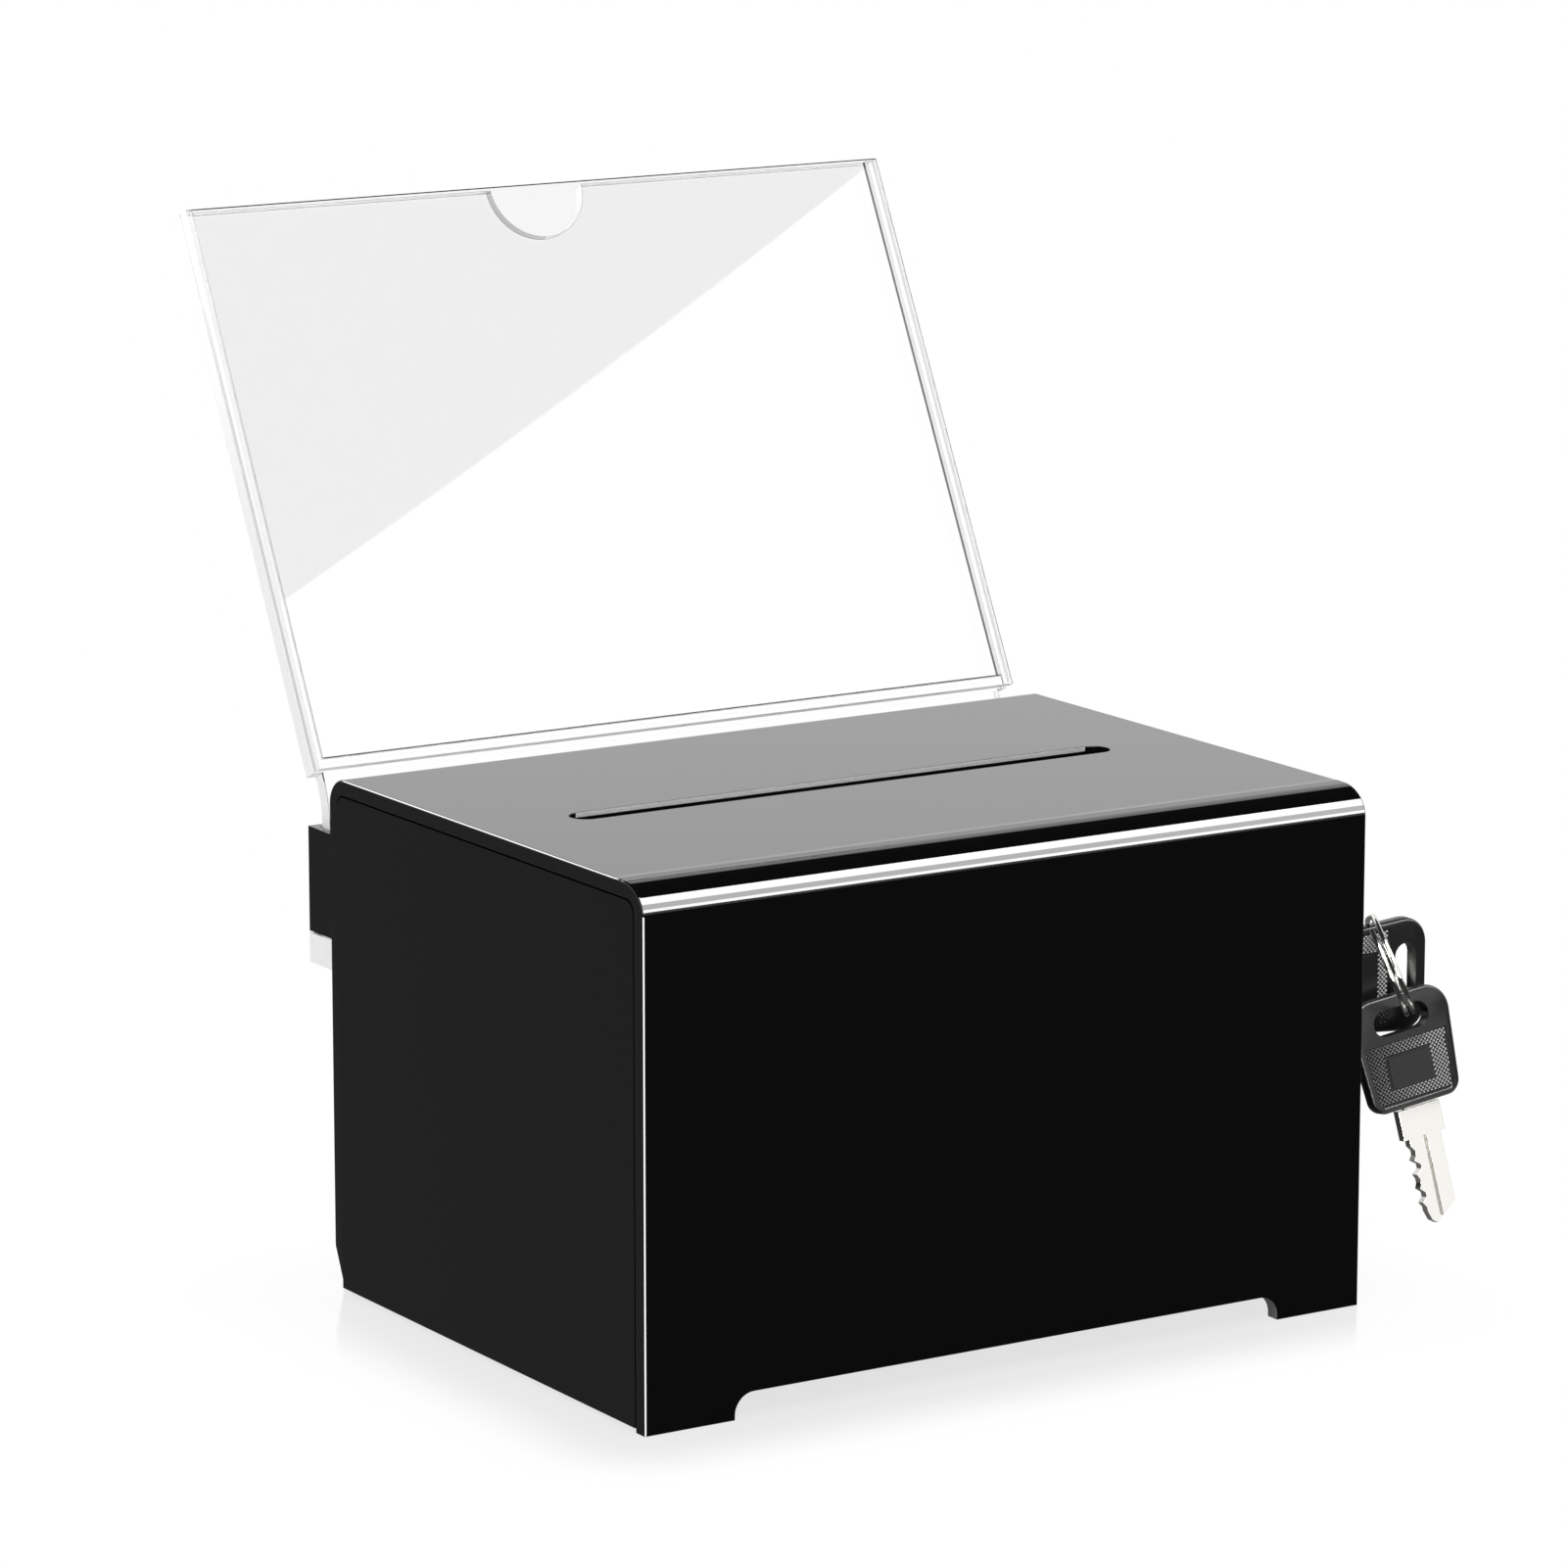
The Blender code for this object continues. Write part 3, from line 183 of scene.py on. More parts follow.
class FinishColours(PropertyGroup):
    """Base colours of the finishes."""

    black_acrylic: colour("Black acrylic", "Cast sheet, dyed through", "#070708")
    black_edge: colour("Black edge", "Laser-cut edge of the same sheet", "#09090a")
    # Grey frost on the feet, partly real and partly a painted reflection along their cut edges
    foot_frost_painted_reflection: colour("Foot edge", "Frost on the laser-cut feet", "#77777a")
    # The frost stops near the top, so the wall below reads black: painted shade for the slot's depth
    slot_frost_painted_shade: colour("Slot edge", "Frost on the upper part of the slot's walls", "#b0b0b1")
    clear_acrylic: colour("Clear acrylic", "Cast sheet, undyed", "#ffffff")
    clear_edge: colour("Clear edge", "Saw-cut edge of the clear sheet", "#ffffff")
    # Greyer than the clear edge: painted shade for the spacers' recessed step
    spacer_edge_painted_shade: colour("Spacer edge", "Edge of the spacers between the panes", "#d6d6d6")
    # Dark base colour: painted shade for the light that the rounded edges bend away
    clear_round_painted_shade: colour("Clear round", "Rounded edges of the clear sheet", "#242424")
    moulding: colour("Moulding", "Bow of a key", "#161617")
    nickel: colour("Nickel", "Plated blade and ring", "#e1dfdb")
    chrome: colour("Chrome", "Plated lock", "#e2e3e4")
    zinc: colour("Zinc", "Plated steel washer, cam and screw", "#b4b7ba")


class StudioSettings(PropertyGroup):
    """Light, floor and camera."""

    room_light: level("Room light", "Even light from all sides", 0.95)
    wall_light: level("Wall light", "Brightness of the lit part of the walls", 1.06)
    bright_below: turn("Bright below", "Height angle up to which the walls are lit", 32.67)
    bright_slant: turn("Bright slant", "Slant of the line where the lit walls end", -6.02)
    key_light: FloatProperty(
        name="Key light", description="Power of the soft lamp", default=2, min=0, unit="POWER"
    )
    bend_strip: level("Bend strip", "Brightness of the strip lights over the front bend", 24)
    bend_strip_grey: level("Dim bend strip", "Brightness of the dimmer strip between them", 11)
    corner_fan: level("Corner fan", "Brightness of the card that edges the front corner", 26)
    edge_strip: level("Edge strip", "Brightness of the strip light over the top's left edge", 14)
    key_card: level("Key card", "Brightness of the card that the key's blade mirrors", 1.2)
    grip_card: level("Grip card", "Brightness of the card that the grips mirror", 9)
    key_strip: level("Key strip", "Brightness of the card that the bows' edges mirror", 12)
    front_flag: level("Front flag", "What the front wall mirrors", 0.04)
    side_flag: level("Side flag", "What the side walls mirror", 0.15)
    floor_albedo: level("Floor", "Share of the light that the floor gives back", 0.8)
    floor_shade: level("Floor shade", "How much of the floor's tone can fall into shade", 0.13)
    floor_mirror: level("Floor mirror", "How strongly the floor mirrors the box at its foot", 0.15)
    azimuth: turn("Azimuth", "Turn of the camera round the box", -32.378)
    elevation: turn("Elevation", "Height angle of the camera", 11.831)
    focal_length: FloatProperty(name="Focal length", description="In mm on 36 mm", default=160.05)
    camera_place: FloatVectorProperty(
        name="Camera", description="Place from the middle of the box's footprint",
        default=(-0.69733, -1.07813, 0.36902), subtype="TRANSLATION",
    )


def box_sizes():
    return bpy.context.scene.acrylic_box


def holder_sizes():
    return bpy.context.scene.acrylic_holder


def key_sizes():
    return bpy.context.scene.acrylic_keys


def finishes():
    return bpy.context.scene.acrylic_finishes


def studio():
    return bpy.context.scene.acrylic_studio


# Quarter turns that stand up a piece drawn in X and Y, in whole numbers, which leave flat
# faces exactly flat
FACING_FRONT = Matrix(((1, 0, 0, 0), (0, 0, -1, 0), (0, 1, 0, 0), (0, 0, 0, 1)))
FACING_RIGHT = Matrix(((0, 0, 1, 0), (1, 0, 0, 0), (0, 1, 0, 0), (0, 0, 0, 1)))
OVERRUN = 2 * MM


def at(facing=Matrix(), y=0.0, z=0.0):
    """A place over the middle of the box's footprint."""
    return Matrix.Translation((MIDDLE.x, MIDDLE.y + y, z)) @ facing


def arc(centre, radius, start, end, step=3):
    """Points of an arc, both ends included, a few degrees apart."""
    count = max(2, math.ceil(abs(math.degrees(end - start)) / step - WELD))
    points = []
    for index in range(count + 1):
        turned = start + (end - start) * index / count
        points.append((
            centre[0] + radius * math.cos(turned), centre[1] + radius * math.sin(turned)
        ))
    return points


def rounded(corners, step=6):
    """A closed outline through corners given as (x, y, fillet radius), in order."""
    points = []
    for index, (x, y, radius) in enumerate(corners):
        here = Vector((x, y))
        if radius == 0:
            points.append((x, y))
            continue
        before = (Vector(corners[index - 1][:2]) - here).normalized()
        after = (Vector(corners[(index + 1) % len(corners)][:2]) - here).normalized()
        half = before.angle(after) / 2
        middle = here + (before + after).normalized() * (radius / math.sin(half))
        first = here + before * (radius / math.tan(half)) - middle
        last = here + after * (radius / math.tan(half)) - middle
        start = math.atan2(first.y, first.x)
        points += arc(middle, radius, start, start - first.angle_signed(last), step)
    return points


def obround(long, wide):
    """The outline of a slot with round ends, its length along X."""
    reach = (long - wide) / 2
    right = arc((reach, 0), wide / 2, -math.pi / 2, math.pi / 2, 6)
    left = arc((-reach, 0), wide / 2, math.pi / 2, 3 * math.pi / 2, 6)
    return right + left


def new_object(name, mesh):
    made = bpy.data.objects.new(name, mesh)
    bpy.context.scene.collection.objects.link(made)
    return made


def mesh_of(shape, name):
    """Turn a bmesh into a mesh."""
    mesh = bpy.data.meshes.new(name)
    shape.to_mesh(mesh)
    shape.free()
    return mesh


def solid_mesh(shape, name, place=None):
    """Turn a bmesh into a mesh, placed and with its faces pointing out."""
    if place is not None:
        bmesh.ops.transform(shape, matrix=place, verts=shape.verts)
    bmesh.ops.recalc_face_normals(shape, faces=shape.faces)
    return mesh_of(shape, name)


def coat(piece, *names):
    """Give a piece material slots with these finishes."""
    for name in names:
        piece.data.materials.append(materials()[name])


def prism(name, outline, low, high, place=None, finish=()):
    """A solid with a flat outline in X and Y, from low to high along Z, then placed.

    With two finishes the second is on the sides, which the outline draws.
    """
    shape = bmesh.new()
    bottom = shape.faces.new([shape.verts.new((x, y, low)) for x, y in outline])
    lifted = bmesh.ops.extrude_face_region(shape, geom=[bottom], use_keep_orig=True)
    top = [item for item in lifted["geom"] if isinstance(item, bmesh.types.BMVert)]
    bmesh.ops.translate(shape, vec=(0, 0, high - low), verts=top)
    shape.normal_update()
    for face in shape.faces:
        on_end = abs(face.normal.z) > 0.5
        face.material_index = 0 if on_end or len(finish) < 2 else 1
    made = new_object(name, solid_mesh(shape, name, place))
    coat(made, *finish)
    return made


def block(name, low, high, place=None, finish=()):
    """A box between two corners."""
    outline = [(low[0], low[1]), (high[0], low[1]), (high[0], high[1]), (low[0], high[1])]
    return prism(name, outline, low[2], high[2], place, finish)


def carve(target, *tools, operation="DIFFERENCE"):
    """Cut the tools out of the target, or join them to it, and remove them."""
    for tool in tools:
        step = target.modifiers.new(tool.name, "BOOLEAN")
        step.object = tool
        step.operation = operation
        step.solver = "EXACT"
        step.material_mode = "TRANSFER"
    bpy.context.view_layer.update()
    shown = target.evaluated_get(bpy.context.evaluated_depsgraph_get())
    mesh = bpy.data.meshes.new_from_object(shown)
    target.modifiers.clear()
    target.data = mesh
    for tool in tools:
        bpy.data.objects.remove(tool, do_unlink=True)


def soften(piece, width, segments=2, weighed=False, round_slot=-1):
    """Small rounds on the edges, with flat faces that stay flat in reflections.

    Where they are weighed, each edge has its own share of the width. The rounds take the
    material in the slot given, or else that of the faces beside them.
    """
    piece.data.shade_smooth()
    step = piece.modifiers.new("Broken edges", "BEVEL")
    step.width = width
    step.segments = segments
    step.limit_method = "WEIGHT" if weighed else "ANGLE"
    step.angle_limit = SMOOTH_ANGLE
    step.use_clamp_overlap = not weighed
    step.material = round_slot
    step.harden_normals = True


def weigh(piece, share_of):
    """Weld a piece, and give each of its sharp edges the share of the round for its two ends."""
    shape = bmesh.new()
    shape.from_mesh(piece.data)
    bmesh.ops.remove_doubles(shape, verts=shape.verts, dist=WELD)
    weights = shape.edges.layers.float.new("bevel_weight_edge")
    for edge in shape.edges:
        if len(edge.link_faces) == 2 and edge.calc_face_angle() >= SMOOTH_ANGLE:
            edge[weights] = share_of([vert.co for vert in edge.verts])
    shape.to_mesh(piece.data)
    shape.free()


def shade_by_angle(piece):
    piece.data.shade_smooth()
    piece.data.set_sharp_from_angle(angle=SMOOTH_ANGLE)


def copied(node, name, finish, edge=0.0, thin=None):
    """A copy of a node's solid with its flat faces whole and its edges broken.

    With a thin axis, the faces that look across it are the sheet's cut edges and take
    the second finish.
    """
    shape = bmesh.new()
    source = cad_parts[node].data
    verts = [shape.verts.new(vert.co) for vert in source.vertices]
    shape.verts.ensure_lookup_table()
    for face in source.polygons:
        corners = [verts[index] for index in face.vertices]
        if shape.faces.get(corners) is None:
            shape.faces.new(corners)
    bmesh.ops.remove_doubles(shape, verts=shape.verts, dist=WELD)
    bmesh.ops.dissolve_limit(shape, angle_limit=FLAT_ANGLE, verts=shape.verts, edges=shape.edges)
    shape.normal_update()
    if thin is not None:
        for face in shape.faces:
            face.material_index = 0 if abs(face.normal.dot(thin)) > 0.5 else 1
    made = new_object(name, solid_mesh(shape, name))
    coat(made, *finish)
    if edge:
        soften(made, edge)
    else:
        shade_by_angle(made)
    return made


def stand_in(piece, body, slot, *nodes):
    """The piece moves with a body and stands for the nodes. The slot is not used."""
    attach(piece, body)
    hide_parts(*nodes)


def add_node(tree, kind, inputs=None, **settings):
    """Add a node with its settings, and feed its inputs with values, sockets or nodes.

    A node feeds an input from its first output.
    """
    made = tree.nodes.new("ShaderNode" + kind)
    for name, value in settings.items():
        setattr(made, name, value)
    for name, value in (inputs or {}).items():
        if isinstance(value, Node):
            value = value.outputs[0]
        if isinstance(value, NodeSocket):
            tree.links.new(value, made.inputs[name])
        else:
            made.inputs[name].default_value = value
    return made


def empty_tree(owner):
    owner.use_nodes = True
    owner.node_tree.nodes.clear()
    return owner.node_tree


ACRYLIC_IOR = 1.49
ABS_IOR = 1.53
WHITE = (1, 1, 1, 1)
# The frost reaches this far up the feet, and this far down the slot's walls. Below it the slot's
# walls stay black: painted shade for the depth of the slot
FOOT_FROST = 10 * MM
SLOT_FROST_ABOVE_PAINTED_SHADE = 0.95 * MM
FINISHES = {}


def speckle(tree, millimetres, detail, stretch=(1, 1, 1)):
    """Noise with features of about so many millimetres, stretched along the object's axes."""
    place = add_node(tree, "TexCoord")
    scaled = add_node(tree, "Mapping", {"Vector": place.outputs["Object"], "Scale": stretch})
    return add_node(tree, "TexNoise", {
        "Vector": scaled, "Scale": 1 / (millimetres * MM), "Detail": detail, "Roughness": 0.55,
    })


def surface(name, constants, marks, roughness, relief=0.0, waves=None, smudges=None):
    """A material with constants on its shader, and marks that its roughness follows.

    Marks, waves and smudges are given as size in mm and detail. The relief is the height
    in mm of the waves, or else of the marks.
    """
    made = bpy.data.materials.new(name)
    tree = empty_tree(made)
    fine = speckle(tree, *marks)
    worn = fine
    if smudges:
        # Marks show most where fingers have left a smudge, and a little everywhere
        worn = add_node(
            tree, "Math", {0: fine, 1: speckle(tree, *smudges), 2: 0.1}, operation="MULTIPLY_ADD"
        )
    fed = dict(constants)
    fed["Roughness"] = add_node(
        tree, "MapRange", {"Value": worn, "To Min": roughness[0], "To Max": roughness[1]}
    )
    if relief:
        fed["Normal"] = add_node(tree, "Bump", {
            "Height": speckle(tree, *waves) if waves else fine,
            "Strength": 1.0 if waves else 0.5, "Distance": relief * MM,
        })
    add_node(tree, "OutputMaterial", {"Surface": add_node(tree, "BsdfPrincipled", fed)})
    return made


def frost_and_painted_light_black_acrylic(name, tone, lowest, highest):
    """Cut edge with a whitish frost between two heights, partly from the laser's fumes and partly
    painted light: a painted reflection on the feet, painted shade on the slot's walls below it.
    """
    made = bpy.data.materials.new(name)
    tree = empty_tree(made)
    place = add_node(tree, "TexCoord")
    height = add_node(tree, "SeparateXYZ", {"Vector": place.outputs["Object"]}).outputs["Z"]
    above = add_node(tree, "Math", {0: height, 1: lowest}, operation="GREATER_THAN")
    under = add_node(tree, "Math", {0: height, 1: highest}, operation="LESS_THAN")
    frost_and_painted_light_band = add_node(tree, "Math", {0: above, 1: under}, operation="MULTIPLY")
    # The frost is streaked across the thickness, about 0.3 mm apart
    streaks = speckle(tree, 0.3, 1, (1, 1, 0.15))
    thin = add_node(tree, "MapRange", {"Value": streaks, "To Min": 0.75, "To Max": 1.0})
    share = add_node(tree, "Math", {0: frost_and_painted_light_band, 1: thin}, operation="MULTIPLY")
    blend = add_node(
        tree, "Mix", {"Factor": share, "A": finishes().black_edge, "B": tone}, data_type="RGBA"
    )
    rough = add_node(tree, "MapRange", {"Value": share, "To Min": 0.1, "To Max": 0.55})
    shader = add_node(tree, "BsdfPrincipled", {
        "Base Color": blend.outputs["Result"], "IOR": ACRYLIC_IOR, "Roughness": rough,
    })
    add_node(tree, "OutputMaterial", {"Surface": shader})
    return made


def acrylic(name, tone, marks, roughness, clear=0.0, **relief):
    """Cast PMMA sheet, dyed through, or clear by a share."""
    constants = {"Base Color": tone, "IOR": ACRYLIC_IOR, "Transmission Weight": clear}
    return surface(f"cast_acrylic_{name}", constants, marks, roughness, **relief)


def plated(name, tone, marks_mm, roughness):
    """A plated metal with fine marks, 0.003 mm deep, and smudges about 3 mm across."""
    constants = {"Base Color": tone, "Metallic": 1.0}
    return surface(name, constants, (marks_mm, 2), roughness, relief=0.003, smudges=(3, 3))


def materials():
    """All finishes by name, made once."""
    if FINISHES:
        return FINISHES
    tone = finishes()
    # Polished black sheet: a near-perfect mirror at a slant, deep black face on. Handling leaves
    # a haze in patches about 30 mm across, and the sheet is very slightly wavy over about 60 mm
    FINISHES["black"] = acrylic(
        "black_polished", tone.black_acrylic, (30, 3), (0.0, 0.035), relief=0.004, waves=(60, 0)
    )
    # Where the laser cut it: glossy, with lines across the thickness from the beam's pulses.
    # They are about 0.1 mm apart, and are drawn here at 0.25 mm
    FINISHES["black_edge"] = acrylic(
        "black_laser_cut", tone.black_edge, (0.25, 1), (0.06, 0.16), relief=0.004
    )
    # Polished clear sheet, clearer than glass. Wiping leaves a faint haze in patches of 20 mm
    FINISHES["clear"] = acrylic("clear_polished", tone.clear_acrylic, (20, 3), (0.0, 0.012), 1.0)
    # Where the saw cut it: whitish, because marks about 0.3 mm apart scatter the light. The spacers'
    # edges are greyer: painted shade for the step they sit back in
    for key, name, cut in (
        ("clear_edge", "clear_saw_cut", tone.clear_edge),
        ("spacer_edge_painted_shade", "clear_spacer_painted_shade", tone.spacer_edge_painted_shade),
    ):
        FINISHES[key] = acrylic(name, cut, (0.3, 1), (0.3, 0.5), 0.15)
    # Its rounded edges bend light away, and so read as fine dark lines; their dark base colour is
    # painted shade for those lines. Flame polishing leaves ripples about 0.5 mm long
    FINISHES["clear_round_painted_shade"] = acrylic("clear_rounded", tone.clear_round_painted_shade, (0.5, 1), (0.05, 0.15), 0.5)
    # Frost on the feet and the slot's upper walls, partly painted light: a painted reflection on the
    # feet, and painted shade on the slot's walls below the frost
    FINISHES["foot_frost_painted_reflection"] = frost_and_painted_light_black_acrylic(
        "cast_acrylic_black_frost_painted_reflection_foot", tone.foot_frost_painted_reflection, -MM, FOOT_FROST
    )
    FINISHES["slot_frost_painted_shade"] = frost_and_painted_light_black_acrylic(
        "cast_acrylic_black_frost_painted_shade_slot", tone.slot_frost_painted_shade, TOP - SLOT_FROST_ABOVE_PAINTED_SHADE, TOP + MM
    )
    # Injection-moulded ABS from a spark-eroded tool: black with a fine satin grain. The tool's
    # texture is about 0.08 mm, and is drawn here at 0.18 mm
    FINISHES["moulded"] = surface(
        "abs_black_moulded", {"Base Color": tone.moulding, "IOR": ABS_IOR}, (0.18, 2), (0.24, 0.36),
        relief=0.006,
    )
    # Nickel on a milled brass blade: warm grey with fine milling marks
    FINISHES["nickel"] = plated("nickel_plated_brass_milled", tone.nickel, 0.12, (0.16, 0.34))
    # Spring steel wire, bright nickel plated and tumbled smooth
    FINISHES["wire"] = plated("nickel_plated_wire", tone.nickel, 0.4, (0.08, 0.2))
    # Die-cast zinc with polished chrome: the lock's face and barrel
    FINISHES["chrome"] = plated("chrome_plated_die_cast", tone.chrome, 0.5, (0.05, 0.14))
    # Zinc-plated steel stampings: a duller, slightly cloudy grey
    FINISHES["zinc"] = plated("zinc_plated_steel", tone.zinc, 0.8, (0.26, 0.46))
    return FINISHES


# Where the sheet stands slightly proud behind the front bend, as heat-bent sheet does:
# distance behind the bend in mm, and share of the ridge's height
RIDGE = (
    (0.2, 0.06), (0.6, 0.25), (1.0, 0.62), (1.4, 0.92), (1.7, 1.0), (2.0, 0.93), (2.4, 0.64),
    (2.8, 0.3), (3.2, 0.08), (3.6, 0.0), (4.2, 0.0),
)
BEND_STEPS = 30
# Shares of the full round that edges get, and how wide the glue seam behind the left side is
INNER_EDGE_SHARE = 0.28
LEAST_SHARE = 0.04
SEAM = 0.28 * MM


def bend_point(turned):
    """The front bend's outer side at a turn from the top, in y and z.

    Heat-bent sheet starts to bend a little before the bend's radius.
    """
    sizes = box_sizes()
    return (
        sizes.bend_lead - HALF_DEPTH - sizes.bend_lead * math.sin(turned),
        TOP - sizes.bend_radius * (1 - math.cos(turned)),
    )


def shell_edge_share(ends):
    """The full round on the shell's outer side edges, and a small one on its other edges."""
    skin = 0.9 * SHEET
    outer = all(
        abs(end.x - MIDDLE.x) > HALF_WIDTH - 0.1 * MM
        and (abs(end.y - MIDDLE.y) > HALF_DEPTH - skin or end.z > TOP - skin)
        for end in ends
    )
    seam = all(
        HALF_DEPTH - 1.5 * SHEET < end.y - MIDDLE.y < HALF_DEPTH - skin
        and end.z < TOP - box_sizes().bend_radius
        for end in ends
    )
    return 1.0 if outer else LEAST_SHARE if seam else INNER_EDGE_SHARE


class ACRYLIC_OT_wrap(Operator):
    """Front, top and rear wall: one black sheet bent twice, with its feet and slot"""

    bl_idname = "acrylic_box.make_wrap"
    bl_label = "Bent Shell"

    def execute(self, context):
        sizes = box_sizes()
        radius = sizes.bend_radius
        reach = HALF_DEPTH - radius
        drop = TOP - radius
        # Narrow flat strips beside the bends keep the large faces' reflections true
        guard = 0.3 * MM
        outline = [(-HALF_DEPTH, 0), (-HALF_DEPTH, drop - guard)]
        for step in range(BEND_STEPS + 1):
            outline.append(bend_point(0.5 * math.pi * (1 - step / BEND_STEPS)))
        start = sizes.bend_lead - HALF_DEPTH
        outline += [(start + far * MM, TOP + rise * sizes.bend_ridge) for far, rise in RIDGE]
        outline += [(reach - guard, TOP)]
        outline += arc((reach, drop), radius, math.pi / 2, 0)
        outline += [(HALF_DEPTH, drop - guard), (HALF_DEPTH, 0), (HALF_DEPTH - SHEET, 0)]
        outline += arc((reach, drop), radius - SHEET, 0, math.pi / 2)
        outline += arc((-reach, drop), radius - SHEET, math.pi / 2, math.pi)
        outline += [(SHEET - HALF_DEPTH, 0)]
        shell = prism(
            "bent_shell", outline, -HALF_WIDTH, HALF_WIDTH, at(FACING_RIGHT), ("black_edge", "black")
        )
        slot = prism(
            "slot_cutter", obround(sizes.slot_length, sizes.slot_width),
            TOP - SHEET - OVERRUN, TOP + OVERRUN, at(), ("black_edge", "slot_frost_painted_shade"),
        )
        # Only the slot's long walls take the frost and the painted shade below it; the round ends
        # keep the plain cut edge
        for face in slot.data.polygons:
            face.material_index = 1 if abs(face.normal.y) > 0.99 else 0
        inner = HALF_WIDTH - sizes.foot_width
        gap = rounded([
            (inner, -OVERRUN, 0),
            (inner, sizes.foot_height, sizes.foot_fillet),
            (-inner, sizes.foot_height, sizes.foot_fillet),
            (-inner, -OVERRUN, 0),
        ])
        feet = prism(
            "foot_cutter", gap, -HALF_DEPTH - OVERRUN, HALF_DEPTH + OVERRUN, at(FACING_FRONT),
            ("foot_frost_painted_reflection",),
        )
        slope = sizes.trim_width / sizes.trim_height
        trims = []
        for side in (-1, 1):
            corner = [
                (side * (HALF_WIDTH - sizes.trim_width - OVERRUN * slope), -OVERRUN),
                (side * (HALF_WIDTH + OVERRUN), -OVERRUN),
                (side * (HALF_WIDTH + OVERRUN), sizes.trim_height + OVERRUN / slope),
            ]
            trims.append(prism(
                f"corner_cutter_{side}", corner, -SHEET, SHEET,
                at(FACING_FRONT, HALF_DEPTH - SHEET / 2), ("black_edge",),
            ))
        carve(shell, slot, feet, *trims)
        weigh(shell, shell_edge_share)
        soften(shell, sizes.edge_round, segments=3, weighed=True)
        stand_in(shell, "box", "black_acrylic", "wrap_shell")
        return {"FINISHED"}


class ACRYLIC_OT_panels(Operator):
    """Flat black panels: left side, floor, strike strip and door"""

    bl_idname = "acrylic_box.make_panels"
    bl_label = "Flat Panels"

    def execute(self, context):
        across = Vector((1, 0, 0))
        for node, name, body, thin in (
            ("left_side_panel", "left_side", "box", across),
            ("bottom_panel", "floor_panel", "box", Vector((0, 0, 1))),
            ("strike_strip", "strike", "box", Vector((0, 1, 0))),
            ("door", "side_door", "door", across),
        ):
            # The left side lies flush in the shell with sharp edges, and its glue fills the seam
            flush = name == "left_side"
            edge = 0 if flush else box_sizes().panel_edge
            panel = copied(node, name, ("black", "black_edge"), edge, thin)
            if flush:
                for vert in panel.data.vertices:
                    if vert.co.y > MIDDLE.y:
                        vert.co.y += SEAM
            stand_in(panel, body, "black_acrylic", node)
        return {"FINISHED"}


class ACRYLIC_OT_bracket(Operator):
    """Black pocket on the rear wall and the clear strip under it"""

    bl_idname = "acrylic_box.make_bracket"
    bl_label = "Holder Bracket"

    def execute(self, context):
        edge = box_sizes().panel_edge
        inner_low, inner_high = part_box("bracket_inner_plate")
        outer_low, outer_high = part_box("bracket_outer_plate")
        left_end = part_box("bracket_end_left")[1].x
        right_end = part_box("bracket_end_right")[0].x
        bracket = block("bracket", inner_low, outer_high, finish=("black",))
        pocket = block(
            "bracket_pocket", (left_end, inner_high.y, inner_low.z - OVERRUN),
            (right_end, outer_low.y, inner_high.z + OVERRUN), finish=("black",),
        )
        carve(bracket, pocket)
        soften(bracket, edge)
        stand_in(
            bracket, "box", "black_acrylic", "bracket_inner_plate", "bracket_outer_plate",
            "bracket_end_left", "bracket_end_right",
        )
        upright = Vector((0, 0, 1))
        strip = copied("tab_stop_strip", "stop_strip", ("clear", "clear_edge"), edge, upright)
        strip.visible_shadow = False
        stand_in(strip, "box", "clear_acrylic", "tab_stop_strip")
        return {"FINISHED"}


HOLDER_LOW, HOLDER_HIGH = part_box("holder_back_pane")
HOLDER_HALF = (HOLDER_HIGH.x - HOLDER_LOW.x) / 2
# Degrees between the points of the notch, and how close counts as on a face
NOTCH_STEP = 3.75
NEAR = 0.05 * MM
TOP_EDGE_SHARE = 0.2
REAR_EDGE_SHARE = 0.5
CUT_EDGE_SHARE = 0.15


def holder_edge_share(ends):
    """Widest rounds where the panes were polished or glued, small ones on the other edges.

    The holder lies in the rear pane's own frame: Z runs up the pane and Y is 0 on its rear.
    """
    sizes = holder_sizes()
    front = -SHEET - sizes.pocket - sizes.front_pane
    at_rear = all(abs(end.y) < NEAR for end in ends)
    at_front = all(abs(end.y - front) < NEAR for end in ends)
    on_top = all(end.z > sizes.pane_length - NEAR for end in ends)
    on_side = all(abs(end.x) > HOLDER_HALF - sizes.spacer_step - NEAR for end in ends)
    in_pocket = all(
        abs(end.y + SHEET) < NEAR and abs(end.x) < HOLDER_HALF - sizes.side_strip + NEAR
        for end in ends
    )
    on_floor = all(
        abs(end.z - sizes.bottom_strip) < NEAR and front < end.y < NEAR - SHEET for end in ends
    )
    on_notch = all(
        Vector((end.x, end.z - sizes.pane_length)).length < sizes.notch_radius + NEAR for end in ends
    )
    if on_top and not at_front:
        return TOP_EDGE_SHARE
    if on_notch:
        return CUT_EDGE_SHARE
    if in_pocket or on_floor or (at_front and (on_top or (on_side and ends[0].x > 0))):
        return 1.0
    if at_rear and on_side:
        return REAR_EDGE_SHARE
    return LEAST_SHARE if at_front or on_side else CUT_EDGE_SHARE


